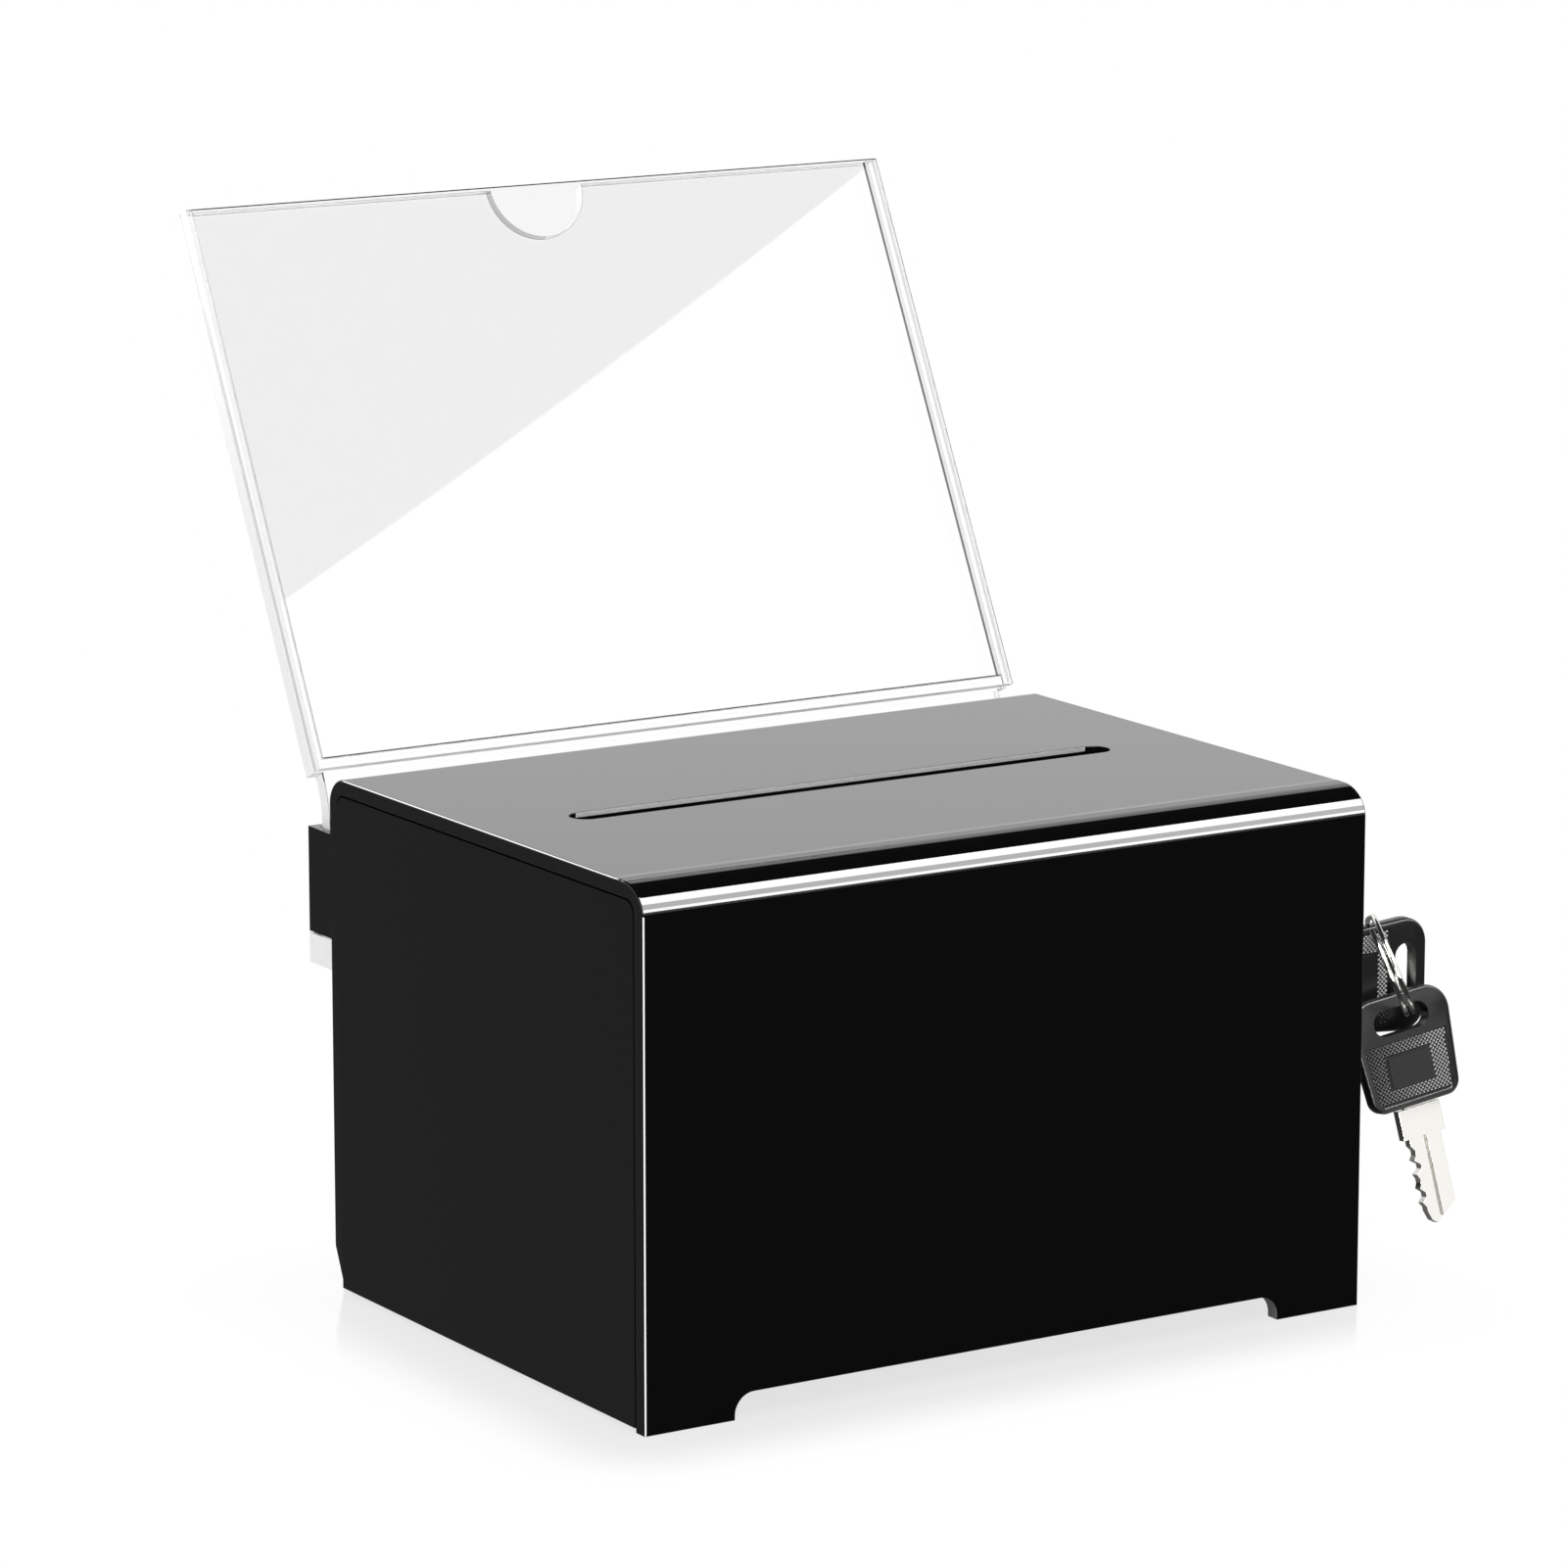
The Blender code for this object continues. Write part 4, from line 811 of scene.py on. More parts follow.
def rear_pane_profile():
    """The rear pane with its bent tab, seen from the side, and the pane's place over the box.

    It is drawn in the pane's own frame, where its faces lie exactly on the axes.
    """
    sizes = holder_sizes()
    tab_front = HOLDER_LOW.y - MIDDLE.y
    tab_rear = tab_front + SHEET
    centre = (tab_rear + sizes.bend_radius, HOLDER_LOW.z + sizes.tab_straight)
    end = math.pi - sizes.lean
    along = Vector((math.sin(sizes.lean), math.cos(sizes.lean)))
    facing = Vector((-along.y, along.x))
    rear = [(tab_rear, HOLDER_LOW.z)] + arc(centre, sizes.bend_radius, math.pi, end, 2)
    front = [(tab_front, HOLDER_LOW.z)]
    front += arc(centre, sizes.bend_radius + SHEET, math.pi, end, 2)
    shoulder = Vector(rear[-1]) + along * sizes.shoulder_rise
    outline = [(0, -sizes.shoulder_rise), (0, sizes.pane_length)]
    outline += [(-SHEET, sizes.pane_length), (-SHEET, -sizes.shoulder_rise)]
    for point in front[-2::-1] + rear[:-1]:
        away = Vector(point) - shoulder
        outline.append((-away.dot(facing), away.dot(along)))
    return outline, at(Matrix.Rotation(-sizes.lean, 4, "X"), shoulder.x, shoulder.y)


def finish_holder_faces(holder):
    """Cut edges are matt, the spacers' edges greyer as painted shade for their step, and the notch's
    left side takes the rounded edges' painted shade.
    """
    sizes = holder_sizes()
    coat(holder, "clear_edge", "clear_round_painted_shade", "spacer_edge_painted_shade")
    matt, dark, grey = 1, 2, 3
    for face in holder.data.polygons:
        notch = Vector((face.center.x, face.center.z - sizes.pane_length))
        in_notch = abs(notch.length - sizes.notch_radius) < NEAR
        if in_notch and abs(face.normal.y) < 0.1:
            # The notch's left side takes the painted shade of the rounded edges, and its right side
            # the matt cut finish
            face.material_index = dark if notch.x < 0 else matt
        elif max(abs(face.normal.x), abs(face.normal.z)) >= 0.7:
            # The spacers' edges take the greyer finish, painted shade for their recessed step
            on_spacer = -sizes.pocket < SHEET + face.center.y < 0 and abs(face.normal.x) > 0.7
            face.material_index = grey if on_spacer else matt
    return dark


class ACRYLIC_OT_holder(Operator):
    """Clear sign holder: rear pane with its bent tab, front pane and spacers, welded"""

    bl_idname = "acrylic_box.make_holder"
    bl_label = "Sign Holder"

    def execute(self, context):
        sizes = holder_sizes()
        clear = ("clear",)
        outline, pane = rear_pane_profile()
        holder = prism("sign_holder", outline, -HOLDER_HALF, HOLDER_HALF, FACING_RIGHT, clear)
        reach = sizes.pane_length
        outside = HOLDER_HALF + OVERRUN
        cutters = []
        for side in (-1, 1):
            near, far = sorted((side * (HOLDER_HALF - sizes.tab_inset), side * outside))
            cutters.append(block(
                f"tab_cutter_{side}", (near, -reach, -reach), (far, reach, 0), finish=clear
            ))
        crown = Matrix.Translation((0, 0, reach)) @ FACING_FRONT
        notch = arc((0, 0), sizes.notch_radius, 0, math.tau, NOTCH_STEP)[:-1]
        cutters.append(prism("notch_cutter", notch, -OVERRUN, SHEET + OVERRUN, crown))
        carve(holder, *cutters)
        thick = SHEET + sizes.pocket + sizes.front_pane
        pocket_front = -SHEET - sizes.pocket
        cover = block(
            "cover", (-HOLDER_HALF, -thick, 0), (HOLDER_HALF, -SHEET, reach), finish=clear
        )
        inner = HOLDER_HALF - sizes.side_strip
        pocket = block(
            "pocket_cutter", (-inner, pocket_front, sizes.bottom_strip),
            (inner, -SHEET + OVERRUN, reach + OVERRUN), finish=clear,
        )
        carve(cover, pocket)
        carve(holder, cover, operation="UNION")
        # The spacers were glued a little short of the panes' edges
        recesses = []
        for side in (-1, 1):
            near, far = sorted((side * (HOLDER_HALF - sizes.spacer_step), side * outside))
            recesses.append(block(
                f"recess_{side}", (near, pocket_front, -OVERRUN), (far, -SHEET, reach + OVERRUN),
                finish=clear,
            ))
        recesses.append(block(
            "recess_below", (-outside, pocket_front, -OVERRUN),
            (outside, -SHEET, sizes.spacer_step), finish=clear,
        ))
        carve(holder, *recesses)
        round_slot = finish_holder_faces(holder)
        weigh(holder, holder_edge_share)
        holder.data.transform(pane)
        # The rounds take the dark rounded-edge finish: painted shade that draws fine dark lines along
        # the holder's edges
        soften(holder, sizes.edge_round, weighed=True, round_slot=round_slot)
        # A clear pane hardly shadows
        holder.visible_shadow = False
        stand_in(
            holder, "holder", "clear_acrylic", "holder_back_pane", "holder_front_pane",
            "holder_side_strip_left", "holder_side_strip_right", "holder_bottom_strip",
        )
        return {"FINISHED"}


class ACRYLIC_OT_lock(Operator):
    """Cam lock in the door: housing, washer, nut, plug, cam and screw, and the hinge pins"""

    bl_idname = "acrylic_box.make_lock"
    bl_label = "Cam Lock"

    def execute(self, context):
        for node, name, body, finish, slot, edge in (
            ("lock_housing", "housing", "door", "chrome", "nickel", 0.12),
            ("lock_nut", "nut", "door", "chrome", "nickel", 0.12),
            ("lock_washer", "washer", "door", "zinc", "zinc_steel", 0.08),
            ("lock_plug", "plug", "plug", "chrome", "nickel", 0.08),
            ("lock_cam", "cam", "plug", "zinc", "zinc_steel", 0.12),
            ("cam_screw", "screw", "plug", "zinc", "zinc_steel", 0.1),
            ("hinge_pin_top", "upper_pin", "door", "zinc", "zinc_steel", 0.1),
            ("hinge_pin_bottom", "lower_pin", "door", "zinc", "zinc_steel", 0.1),
        ):
            stand_in(copied(node, name, (finish,), edge * MM), body, slot, node)
        return {"FINISHED"}


# Where the ring crosses the first bow and its slot, and hangs in the second one's, as shares
# of their lengths; the bitting's depths and flats, and the nose, as shares of their sizes
RING_ON_BOW_SHARE = 0.42
RING_IN_SLOT_SHARE = 0.5
HANG_SIDE_SHARE = 0.23
BIT_DEPTH_SHARES = (0.55, 1.0, 0.35, 0.8, 0.5)
BIT_FLAT_SHARE = 0.3
NOSE_SHARE = 0.25
NOSE_DROP_SHARE = 0.33
BLADE_START = 0.3 * MM
KNOTS_A_TURN = 72


def bow_half_width(along):
    """Half of the bow's width at a distance from its blade end."""
    sizes = key_sizes()
    return (sizes.bow_inner + (sizes.bow_outer - sizes.bow_inner) * along / sizes.bow_length) / 2


def slot_centre():
    sizes = key_sizes()
    return sizes.bow_length - sizes.border - sizes.slot_width / 2


def key_1_place():
    """The first key's frame: its zero is where the bow meets the blade."""
    low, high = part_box("key_1_bow")
    return Matrix.Translation((low.x, (low.y + high.y) / 2, (low.z + high.z) / 2))


def ring_axes():
    """Centre and axes of the ring in the first key's frame: across, up and along its axle."""
    sizes = key_sizes()
    wire = sizes.wire / 2
    along = sizes.bow_length * RING_ON_BOW_SHARE
    upper = Vector((along, bow_half_width(along) + wire + sizes.edge_play))
    side = slot_centre() - sizes.slot_width / 2 + sizes.slot_width * RING_IN_SLOT_SHARE
    lower = Vector((side, -sizes.slot_length / 2 + wire + sizes.slot_play))
    chord = lower - upper
    down = Vector((chord.x, 0, chord.y)).normalized()
    sideways = Vector((-down.z, 0, down.x))
    out = Vector((0, -1, 0))
    axle = math.cos(sizes.ring_turn) * sideways + math.sin(sizes.ring_turn) * out
    forward = -math.sin(sizes.ring_turn) * sideways + math.cos(sizes.ring_turn) * out
    offset = math.sqrt(sizes.ring_radius ** 2 - (chord.length / 2) ** 2)
    middle = (upper + lower) / 2
    centre = Vector((middle.x, 0, middle.y)) + forward * offset
    rise = (Vector((0, 0, 1)) - axle * axle.z).normalized()
    return centre, rise.cross(axle), rise, axle


def key_2_place():
    """The second key's frame: its slot hangs on the lowest point of the ring."""
    sizes = key_sizes()
    centre, _, rise, _ = ring_axes()
    lowest = centre - rise * sizes.ring_radius
    hang = Matrix.Rotation(-math.pi / 2 - sizes.tilt, 4, "Y")
    facing = Matrix.Rotation(sizes.yaw, 4, "Z") @ Matrix.Rotation(sizes.pitch, 4, "X") @ hang
    reach = sizes.wire / 2 + sizes.hook_play
    inside = Vector((
        sizes.bow_length - sizes.border - reach, 0, -sizes.slot_length * HANG_SIDE_SHARE
    ))
    return key_1_place() @ Matrix.Translation(lowest) @ facing @ Matrix.Translation(-inside)


def bow_outline(inset, end):
    """The bow's outline, drawn in by inset, up to a distance from the blade end."""
    sizes = key_sizes()
    edge = sizes.bow_edge
    whole = end == sizes.bow_length
    inner = max(sizes.inner_fillet - inset, edge)
    outer = max(sizes.outer_fillet - inset, edge) if whole else edge
    high = end - inset
    wide = bow_half_width(high) - inset
    narrow = bow_half_width(inset) - inset
    return rounded([
        (inset, -narrow, inner), (high, -wide, outer), (high, wide, outer), (inset, narrow, inner)
    ])


def grip_diamonds(panel_end, place):
    """Small pyramids in a diamond pattern on both sunk panels, with the plaque left bare."""
    sizes = key_sizes()
    half = sizes.grip_pitch / 2
    floor = sizes.bow_thickness / 2 - sizes.panel_depth
    middle = panel_end / 2
    shape = bmesh.new()
    count = math.ceil(sizes.bow_outer / half)
    for row in range(-count, count + 1):
        for step in range(-count, count + 1):
            if (row + step) % 2:
                continue
            x = middle + row * half
            y = step * half
            in_length = sizes.rim + half < x < panel_end - sizes.rim - half
            in_width = abs(y) < bow_half_width(x) - sizes.rim - half
            on_plaque = (
                abs(x - middle) < sizes.plaque_length / 2 + half
                and abs(y) < sizes.plaque_width / 2 + half
            )
            if not (in_length and in_width) or on_plaque:
                continue
            for side in (-1, 1):
                foot = [
                    shape.verts.new((x + dx * half, y + dy * half, side * floor))
                    for dx, dy in ((1, 0), (0, 1), (-1, 0), (0, -1))
                ]
                peak = shape.verts.new((x, y, side * (floor + sizes.grip_height)))
                shape.faces.new(foot)
                for index in range(4):
                    shape.faces.new((foot[index], foot[(index + 1) % 4], peak))
    return solid_mesh(shape, "grip", place)


def tang(name, place, finish):
    """The tongue that joins a blade to its bow, or cuts the socket for it."""
    sizes = key_sizes()
    thick = sizes.tang_thickness / 2
    wide = sizes.tang_width / 2
    return block(name, (-OVERRUN, -thick, -wide), (sizes.tang_length, thick, wide), place, finish)


def key_bow(name, place):
    """Moulded bow: rounded outline, slot for the ring, sunk grip panels and a bare plaque."""
    sizes = key_sizes()
    moulded = ("moulded",)
    stood = place @ FACING_FRONT
    half = sizes.bow_thickness / 2
    through = (-OVERRUN - half, half + OVERRUN)
    bow = prism(name, bow_outline(0, sizes.bow_length), -half, half, stood, moulded)
    soften(bow, sizes.bow_edge, segments=4)
    slot_place = stood @ Matrix.Translation((slot_centre(), 0, 0))
    upright = slot_place @ Matrix.Rotation(math.radians(90), 4, "Z")
    slot = prism(
        f"{name}_slot", obround(sizes.slot_length, sizes.slot_width), *through, upright, moulded
    )
    panel_end = sizes.bow_length - sizes.border - sizes.slot_width
    middle = panel_end / 2
    long = sizes.plaque_length / 2
    wide = sizes.plaque_width / 2
    plaque = rounded([
        (middle + x * long, y * wide, sizes.bow_edge) for x, y in ((-1, -1), (1, -1), (1, 1), (-1, 1))
    ])
    cutters = [slot]
    for side in (-1, 1):
        sunk_from, sunk_to = sorted((side * (half - sizes.panel_depth), side * (half + OVERRUN)))
        sunk = prism(
            f"{name}_panel_{side}", bow_outline(sizes.rim, panel_end), sunk_from, sunk_to, stood,
            moulded,
        )
        carve(sunk, prism(f"{name}_plaque_{side}", plaque, *through, stood, moulded))
        cutters.append(sunk)
    cutters.append(tang(f"{name}_socket", place, moulded))
    carve(bow, *cutters)
    shape = bmesh.new()
    shape.from_mesh(bow.data)
    shape.from_mesh(grip_diamonds(panel_end, stood))
    shape.to_mesh(bow.data)
    shape.free()
    shade_by_angle(bow)
    return bow


def blade_outline():
    """Blade with its shoulder, slanted point and the cuts on its upper edge."""
    sizes = key_sizes()
    wide = sizes.blade_width / 2
    shoulder = sizes.shoulder_width / 2
    neck = -sizes.shoulder_length
    tip = neck - sizes.blade_length
    deepest = wide - sizes.bit_depth
    outline = [(neck, -wide), (neck, -shoulder), (-BLADE_START, -shoulder)]
    outline += [(-BLADE_START, shoulder), (neck, shoulder), (neck, wide)]
    flat = sizes.bit_pitch * BIT_FLAT_SHARE / 2
    for index, share in enumerate(BIT_DEPTH_SHARES):
        middle = neck - sizes.bit_pitch * (index + 1)
        bottom = wide - sizes.bit_depth * share
        outline.append((middle + sizes.bit_pitch / 2, wide))
        outline += [(middle + flat, bottom), (middle - flat, bottom)]
    outline.append((tip + sizes.tip * NOSE_SHARE, deepest))
    outline.append((tip, deepest - sizes.tip * NOSE_DROP_SHARE))
    outline.append((tip + sizes.tip, -wide))
    return outline


def key_blade(name, place):
    """Milled blade with its groove, its cuts and the tongue inside the bow."""
    sizes = key_sizes()
    nickel = ("nickel",)
    half = sizes.blade_thickness / 2
    blade = prism(name, blade_outline(), -half, half, place @ FACING_FRONT, nickel)
    end = sizes.shoulder_length + sizes.blade_length
    wide = sizes.groove_width / 2
    groove = block(
        f"{name}_groove", (-end - OVERRUN, -half - OVERRUN, -wide),
        (-sizes.shoulder_length, -half + sizes.groove_depth, wide), place, nickel,
    )
    carve(blade, groove)
    carve(blade, tang(f"{name}_tang", place, nickel), operation="UNION")
    soften(blade, sizes.blade_edge)
    return blade


class ACRYLIC_OT_keys(Operator):
    """Two keys: one in the lock, one hanging from the ring"""

    bl_idname = "acrylic_box.make_keys"
    bl_label = "Keys"

    def execute(self, context):
        for number, place in ((1, key_1_place()), (2, key_2_place())):
            bow = key_bow(f"bow_{number}", place)
            stand_in(bow, f"key_{number}", "black_moulding", f"key_{number}_bow")
            blade = key_blade(f"blade_{number}", place)
            stand_in(blade, f"key_{number}", "nickel", f"key_{number}_blade")
        return {"FINISHED"}


class ACRYLIC_OT_ring(Operator):
    """Split ring: one wire wound twice, with its joggle"""

    bl_idname = "acrylic_box.make_ring"
    bl_label = "Split Ring"

    def execute(self, context):
        sizes = key_sizes()
        place = key_1_place()
        centre, across, rise, axle = ring_axes()
        turns = 2 * math.tau - 2 * sizes.joggle
        count = round(KNOTS_A_TURN * turns / math.tau)
        curve = bpy.data.curves.new("ring", "CURVE")
        curve.dimensions = "3D"
        curve.bevel_depth = sizes.wire / 2
        curve.bevel_resolution = 4
        curve.use_fill_caps = True
        line = curve.splines.new("POLY")
        line.points.add(count)
        for step, knot in enumerate(line.points):
            turned = turns * step / count
            share = (turned - (math.tau - 2 * sizes.joggle)) / sizes.joggle
            share = min(max(share, 0), 1)
            lift = sizes.coil_pitch * (share * share * (3 - 2 * share) - 1 / 2)
            angle = turned + sizes.wire_start
            flat = across * math.cos(angle) + rise * math.sin(angle)
            knot.co = (*(place @ (centre + flat * sizes.ring_radius + axle * lift)), 1)
        ring = new_object("ring", curve)
        coat(ring, "wire")
        stand_in(ring, "ring", "nickel", "split_ring")
        return {"FINISHED"}


# How dark the upper walls are, how far the sweep and the flags reach, in metres, and the
# height of the flags under the sweep
DARK_WALL = 0.02
SWEEP_RADIUS = 5
FLAG_REACH = 2.0
BELOW = -1 * MM
# Distances from the box, in mm, between which the sweep's shade and its gloss fade away
SHADE_FADE = (0, 34)
GLOSS_FADE = (4, 26)
# The soft lamp's width and height, its place over the footprint and the point it faces, in metres
LAMP_SIZE = (0.5, 0.35)
LAMP_PLACE = Vector((-0.35, -0.5, 0.75))
LAMP_AIM = Vector((0, 0, 0.06))
# The camera's film width in mm, and the distances between which it sees, in metres
FILM_WIDTH = 36
CLIP = (0.01, 20)


def card(name, corners, emission):
    """A studio card that shows in reflections only."""
    shape = bmesh.new()
    shape.faces.new([shape.verts.new(Vector(corner) + FOOTPRINT) for corner in corners])
    made = new_object(name, mesh_of(shape, name))
    for ray in ("camera", "diffuse", "transmission", "shadow", "volume_scatter"):
        setattr(made, f"visible_{ray}", False)
    finish = bpy.data.materials.new(name)
    tree = empty_tree(finish)
    light = add_node(tree, "Emission", {"Color": WHITE, "Strength": emission})
    add_node(tree, "OutputMaterial", {"Surface": light})
    made.data.materials.append(finish)


def make_world(settings):
    """Plain white to the camera, lit walls to mirrors and glass, even light to all else."""
    world = bpy.data.worlds.new("studio")
    bpy.context.scene.world = world
    tree = empty_tree(world)
    ray = add_node(tree, "LightPath")
    place = add_node(tree, "TexCoord")
    # The lit walls end in a line that slants a little
    upward = (math.sin(settings.bright_slant), 0, math.cos(settings.bright_slant))
    height = add_node(
        tree, "VectorMath", {0: place.outputs["Generated"], 1: upward}, operation="DOT_PRODUCT"
    )
    lit_part = add_node(
        tree, "Math", {0: height.outputs["Value"], 1: math.sin(settings.bright_below)},
        operation="LESS_THAN",
    )
    walls = add_node(
        tree, "MapRange", {"Value": lit_part, "To Min": DARK_WALL, "To Max": settings.wall_light}
    )
    white, mirrored, even = (
        add_node(tree, "Background", {"Color": WHITE, "Strength": strength})
        for strength in (1, walls, settings.room_light)
    )
    sharp = add_node(
        tree, "Math", {0: ray.outputs["Is Glossy Ray"], 1: ray.outputs["Is Transmission Ray"]},
        operation="MAXIMUM",
    )
    lit = add_node(tree, "MixShader", {0: sharp, 1: even, 2: mirrored})
    whole = add_node(tree, "MixShader", {0: ray.outputs["Is Camera Ray"], 1: lit, 2: white})
    add_node(tree, "OutputWorld", {"Surface": whole})


def make_floor(settings):
    """White sweep: shaded and mirroring close to the box, pure white further out."""
    shape = bmesh.new()
    bmesh.ops.create_circle(shape, cap_ends=True, segments=96, radius=SWEEP_RADIUS)
    floor = new_object("sweep", mesh_of(shape, "sweep"))
    floor.location = (MIDDLE.x, MIDDLE.y, -0.05 * MM)
    floor.visible_glossy = False
    made = bpy.data.materials.new("white_sweep")
    tree = empty_tree(made)
    ray = add_node(tree, "LightPath")
    seen = add_node(
        tree, "Math", {0: ray.outputs["Is Camera Ray"], 1: ray.outputs["Is Transmission Ray"]},
        operation="MAXIMUM",
    )
    place = add_node(tree, "TexCoord")
    axes = add_node(tree, "SeparateXYZ", {"Vector": place.outputs["Object"]})
    outside = {}
    for axis, half in (("X", HALF_WIDTH), ("Y", HALF_DEPTH)):
        away = add_node(tree, "Math", {0: axes.outputs[axis]}, operation="ABSOLUTE")
        past = add_node(tree, "Math", {0: away, 1: half}, operation="SUBTRACT")
        outside[axis] = add_node(tree, "Math", {0: past, 1: 0}, operation="MAXIMUM")
    joined = add_node(tree, "CombineXYZ", outside)
    distance = add_node(tree, "VectorMath", {0: joined}, operation="LENGTH")
    shade, gloss = (
        add_node(tree, "MapRange", {
            "Value": distance.outputs["Value"], "From Min": fade[0] * MM, "From Max": fade[1] * MM,
            "To Min": most, "To Max": 0,
        }, interpolation_type="SMOOTHSTEP")
        for fade, most in ((SHADE_FADE, settings.floor_shade), (GLOSS_FADE, settings.floor_mirror))
    )
    matt = add_node(tree, "BsdfDiffuse", {"Color": (settings.floor_albedo,) * 3 + (1,)})
    glow = add_node(tree, "Emission", {"Color": WHITE, "Strength": 1})
    mirror = add_node(tree, "BsdfGlossy", {"Color": WHITE, "Roughness": 0.12})
    pale = add_node(tree, "MixShader", {0: shade, 1: glow, 2: matt})
    polished = add_node(tree, "MixShader", {0: gloss, 1: pale, 2: mirror})
    shown = add_node(tree, "MixShader", {0: seen, 1: matt, 2: polished})
    add_node(tree, "OutputMaterial", {"Surface": shown})
    floor.data.materials.append(made)


def over_bend(bend_turn, reach, settings):
    """Where the view, mirrored in the front bend at a turn from the top, meets a tube round it.

    Given as y and z from the middle of the box's footprint.
    """
    sizes = box_sizes()
    centre = Vector(bend_point(0)) - Vector((0, sizes.bend_radius))
    seen = math.atan(math.tan(settings.elevation) / math.cos(settings.azimuth))
    start = Vector(bend_point(bend_turn)) - centre
    facing = math.atan2(
        sizes.bend_radius * math.sin(bend_turn), sizes.bend_lead * math.cos(bend_turn)
    )
    mirrored = seen + 2 * facing
    way = Vector((math.cos(mirrored), math.sin(mirrored)))
    along = start.dot(way)
    return centre + start + way * (
        math.sqrt(along ** 2 - start.length_squared + reach ** 2) - along
    )


def make_cards(settings):
    """Dark flags below the sweep, strip lights over the bend and the top's left edge, and cards.

    The cards are at the front corner, behind the lid, and by the hanging key.
    """
    beyond = (-HALF_WIDTH, FLAG_REACH)
    left = (-FLAG_REACH, -HALF_WIDTH)
    front = ((-FLAG_REACH, BELOW), (-HALF_DEPTH, BELOW))
    rear = ((-HALF_DEPTH, BELOW), (FLAG_REACH, BELOW))
    strips = [
        ("front_flag", beyond, *front, settings.front_flag),
        ("corner_flag", left, *front, settings.side_flag),
        ("left_flag", left, *rear, settings.side_flag),
        ("rear_flag", beyond, *rear, settings.side_flag),
    ]
    reach = 40 * MM
    for name, start, end, bright in (
        ("bend_strip_upper", 54, 67, settings.bend_strip),
        ("bend_strip_middle", 67, 76.5, settings.bend_strip_grey),
        ("bend_strip_lower", 76.5, 81.5, settings.bend_strip),
    ):
        across = [over_bend(math.radians(turned), reach, settings) for turned in (start, end)]
        strips.append((name, (-HALF_WIDTH - reach / 4, HALF_WIDTH + reach), *across, bright))
    # It keeps the sign holder out of the lid's mirror, and is as bright as the walls
    strips.append((
        "lid_card", (-HALF_WIDTH, 2 * HALF_WIDTH), (HALF_DEPTH, TOP - 4 * MM),
        (HALF_DEPTH, TOP + 42 * MM), settings.wall_light,
    ))
    key_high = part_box("key_2_blade")[1]
    beside = key_high.x - MIDDLE.x
    key_card_y = -HALF_DEPTH + 1 * MM
    strips.append((
        "key_card", (beside - 12 * MM, beside + 30 * MM), (key_card_y, BELOW),
        (key_card_y, key_high.z - 4 * MM), settings.key_card,
    ))
    # Each of these is a rectangle from one x to another, between two places in y and z
    for name, (start, end), first, last, bright in strips:
        card(name, [(start, *first), (end, *first), (end, *last), (start, *last)], bright)
    # It spreads on the floor from the corner, between two turns in degrees from the right
    fan_radius = 0.52
    fan = [(-HALF_WIDTH, -HALF_DEPTH, BELOW / 2)]
    for way in range(205, 291, 17):
        around = math.radians(way)
        fan.append((
            -HALF_WIDTH + fan_radius * math.cos(around),
            -HALF_DEPTH + fan_radius * math.sin(around), BELOW / 2,
        ))
    card("corner_fan", fan, settings.corner_fan)
    # It leans: in mm from the top's left edge, 12 in and 120 up, down to 96 out and 72 up
    nearest, furthest = -HALF_DEPTH + 170 * MM, HALF_DEPTH + 200 * MM
    card("edge_strip", [
        (x * MM - HALF_WIDTH, y, TOP + rise * MM) for x, y, rise in (
            (12, nearest, 120), (12, furthest, 120), (-96, furthest, 72), (-96, nearest, 72)
        )
    ], settings.edge_strip)
    bow_low, bow_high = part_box("key_2_bow")
    bow = (bow_low + bow_high) / 2 - FOOTPRINT
    # Each faces the hanging bow from a way and a distance, with half its length and width in metres
    for name, way, distance, long, wide, bright in (
        ("grip_card", Vector((-0.26, -0.79, 0.56)), 0.3, 0.07, 0.06, settings.grip_card),
        ("key_strip", Vector((0.52, -0.42, 0.74)), 0.07, 0.03, 0.009, settings.key_strip),
    ):
        centre = bow + way * distance
        across = way.cross(Vector((0, 0, 1))).normalized() * long
        if name == "key_strip":
            across = Vector((long, 0, 0))
        above = across.cross(way).normalized() * wide
        card(name, [
            centre - across - above, centre + across - above,
            centre + across + above, centre - across + above,
        ], bright)


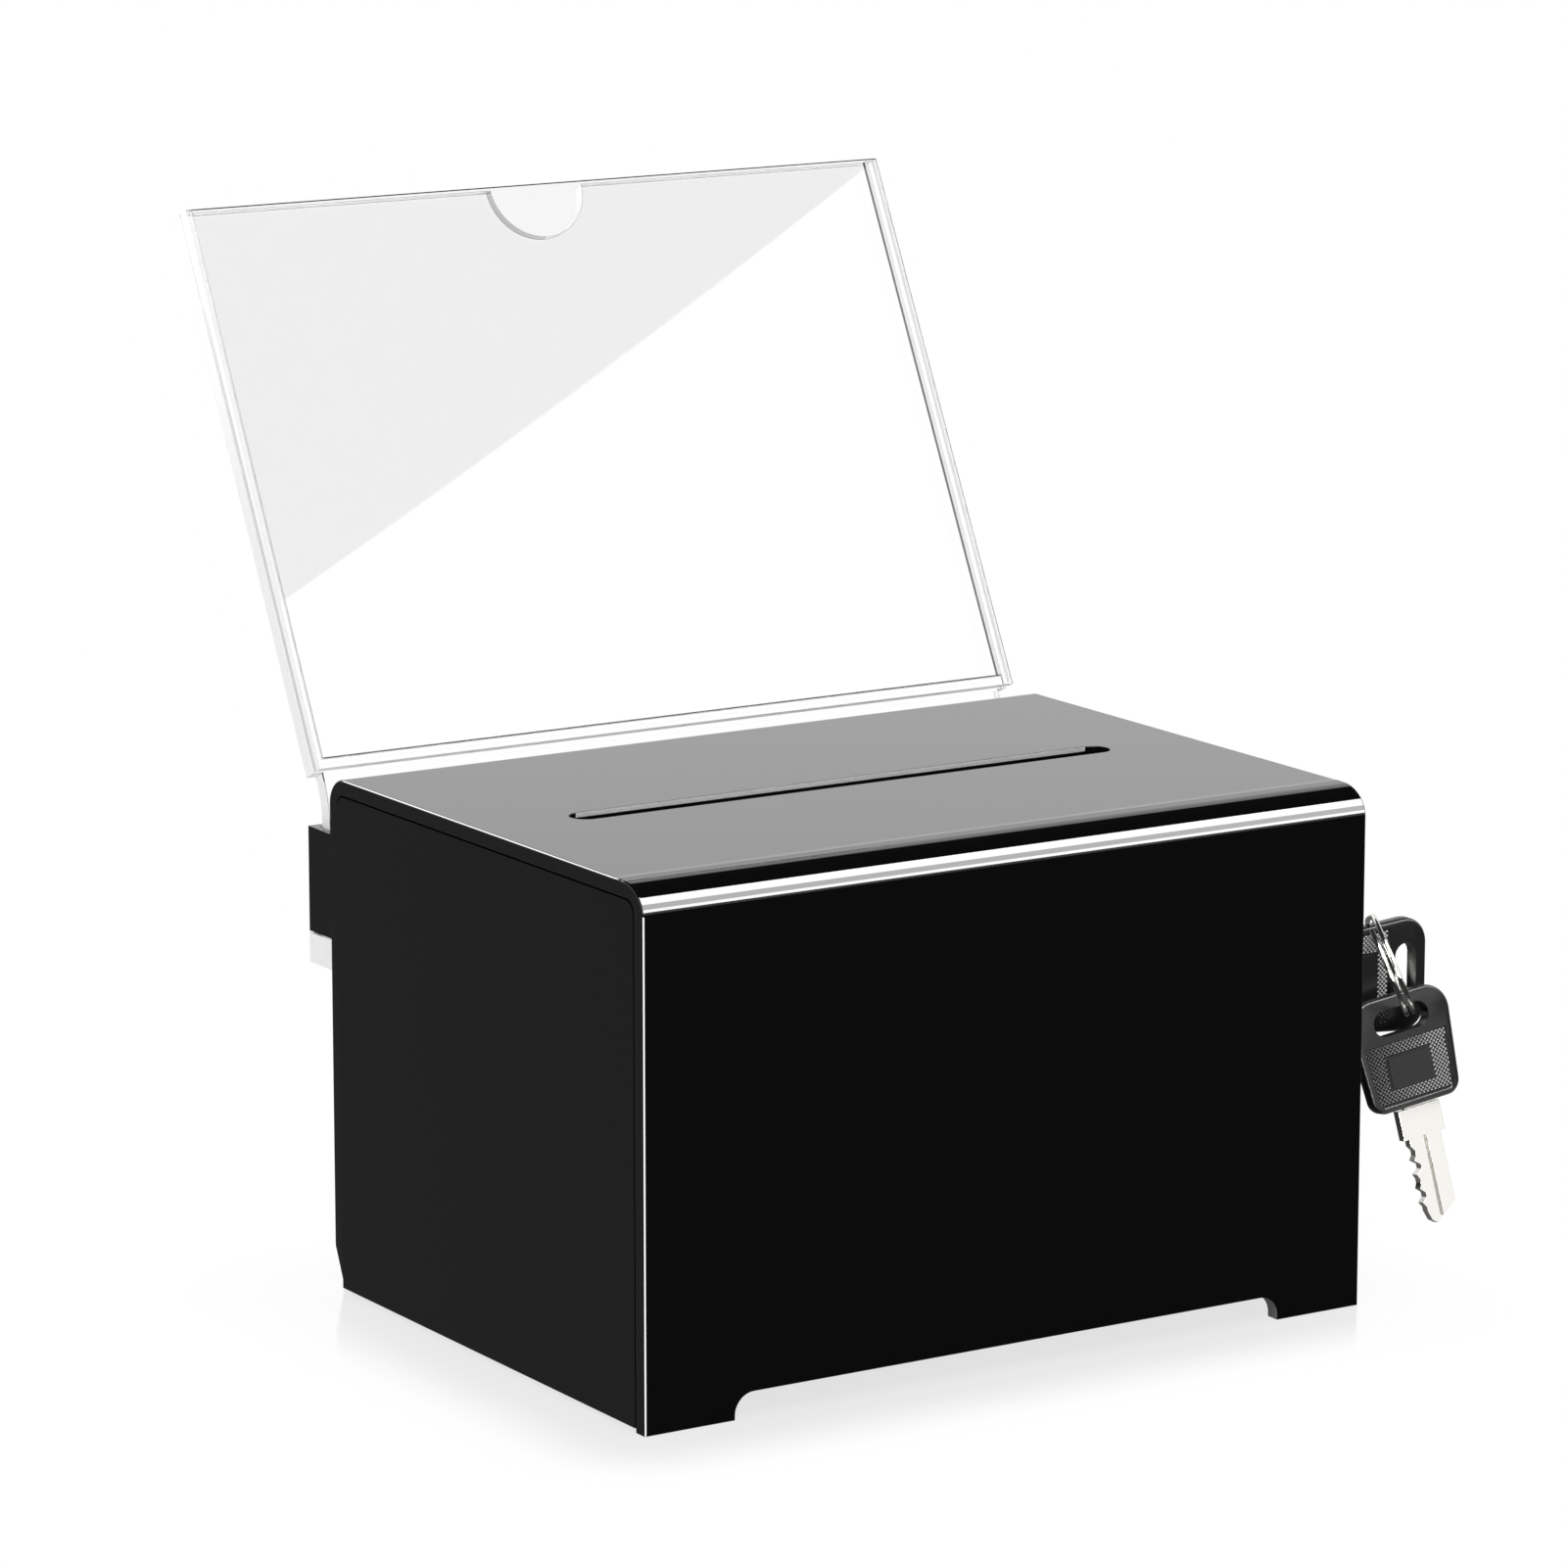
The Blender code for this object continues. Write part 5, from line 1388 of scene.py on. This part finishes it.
class ACRYLIC_OT_stage(Operator):
    """Camera, soft light, white sweep and the cards that the acrylic mirrors"""

    bl_idname = "acrylic_box.make_stage"
    bl_label = "Stage"

    def execute(self, context):
        settings = studio()
        scene = context.scene
        scene.view_settings.view_transform = "Standard"
        data = bpy.data.cameras.new("camera")
        data.sensor_width = FILM_WIDTH
        data.lens = settings.focal_length
        data.clip_start, data.clip_end = CLIP
        camera = new_object("camera", data)
        camera.location = Vector(settings.camera_place) + FOOTPRINT
        around = settings.azimuth
        above = settings.elevation
        back = Vector((
            math.sin(around) * math.cos(above), -math.cos(around) * math.cos(above), math.sin(above)
        ))
        camera.rotation_euler = (-back).to_track_quat("-Z", "Y").to_euler()
        scene.camera = camera
        make_world(settings)
        make_floor(settings)
        make_cards(settings)
        lamp = bpy.data.lights.new("key_lamp", "AREA")
        lamp.shape = "RECTANGLE"
        lamp.size, lamp.size_y = LAMP_SIZE
        lamp.energy = settings.key_light
        key = new_object("key_lamp", lamp)
        key.location = FOOTPRINT + LAMP_PLACE
        aim = FOOTPRINT + LAMP_AIM - key.location
        key.rotation_euler = aim.to_track_quat("-Z", "Y").to_euler()
        return {"FINISHED"}


MAKERS = (
    ACRYLIC_OT_stage, ACRYLIC_OT_wrap, ACRYLIC_OT_panels, ACRYLIC_OT_bracket, ACRYLIC_OT_holder,
    ACRYLIC_OT_lock, ACRYLIC_OT_keys, ACRYLIC_OT_ring,
)
GROUPS = {
    "acrylic_box": BoxSizes,
    "acrylic_holder": HolderSizes,
    "acrylic_keys": KeySizes,
    "acrylic_finishes": FinishColours,
    "acrylic_studio": StudioSettings,
}


class ACRYLIC_PT_panel(Panel):
    """Lists what the box is made of"""

    bl_label = "Acrylic Box"
    bl_idname = "ACRYLIC_PT_panel"
    bl_space_type = "VIEW_3D"
    bl_region_type = "UI"
    bl_category = "Acrylic Box"

    def draw(self, context):
        column = self.layout.column()
        for maker in MAKERS:
            column.operator(maker.bl_idname)
        for name, group in GROUPS.items():
            column.separator()
            for item in group.__annotations__:
                column.prop(getattr(context.scene, name), item)


def register():
    for group in GROUPS.values():
        bpy.utils.register_class(group)
    for name, group in GROUPS.items():
        setattr(bpy.types.Scene, name, PointerProperty(type=group))
    for maker in MAKERS:
        bpy.utils.register_class(maker)
    bpy.utils.register_class(ACRYLIC_PT_panel)


def unregister():
    bpy.utils.unregister_class(ACRYLIC_PT_panel)
    for maker in reversed(MAKERS):
        bpy.utils.unregister_class(maker)
    for name in GROUPS:
        delattr(bpy.types.Scene, name)
    for group in GROUPS.values():
        bpy.utils.unregister_class(group)


def main():
    register()
    for maker in MAKERS:
        group, name = maker.bl_idname.split(".")
        getattr(getattr(bpy.ops, group), name)()


if __name__ == "__main__":
    main()
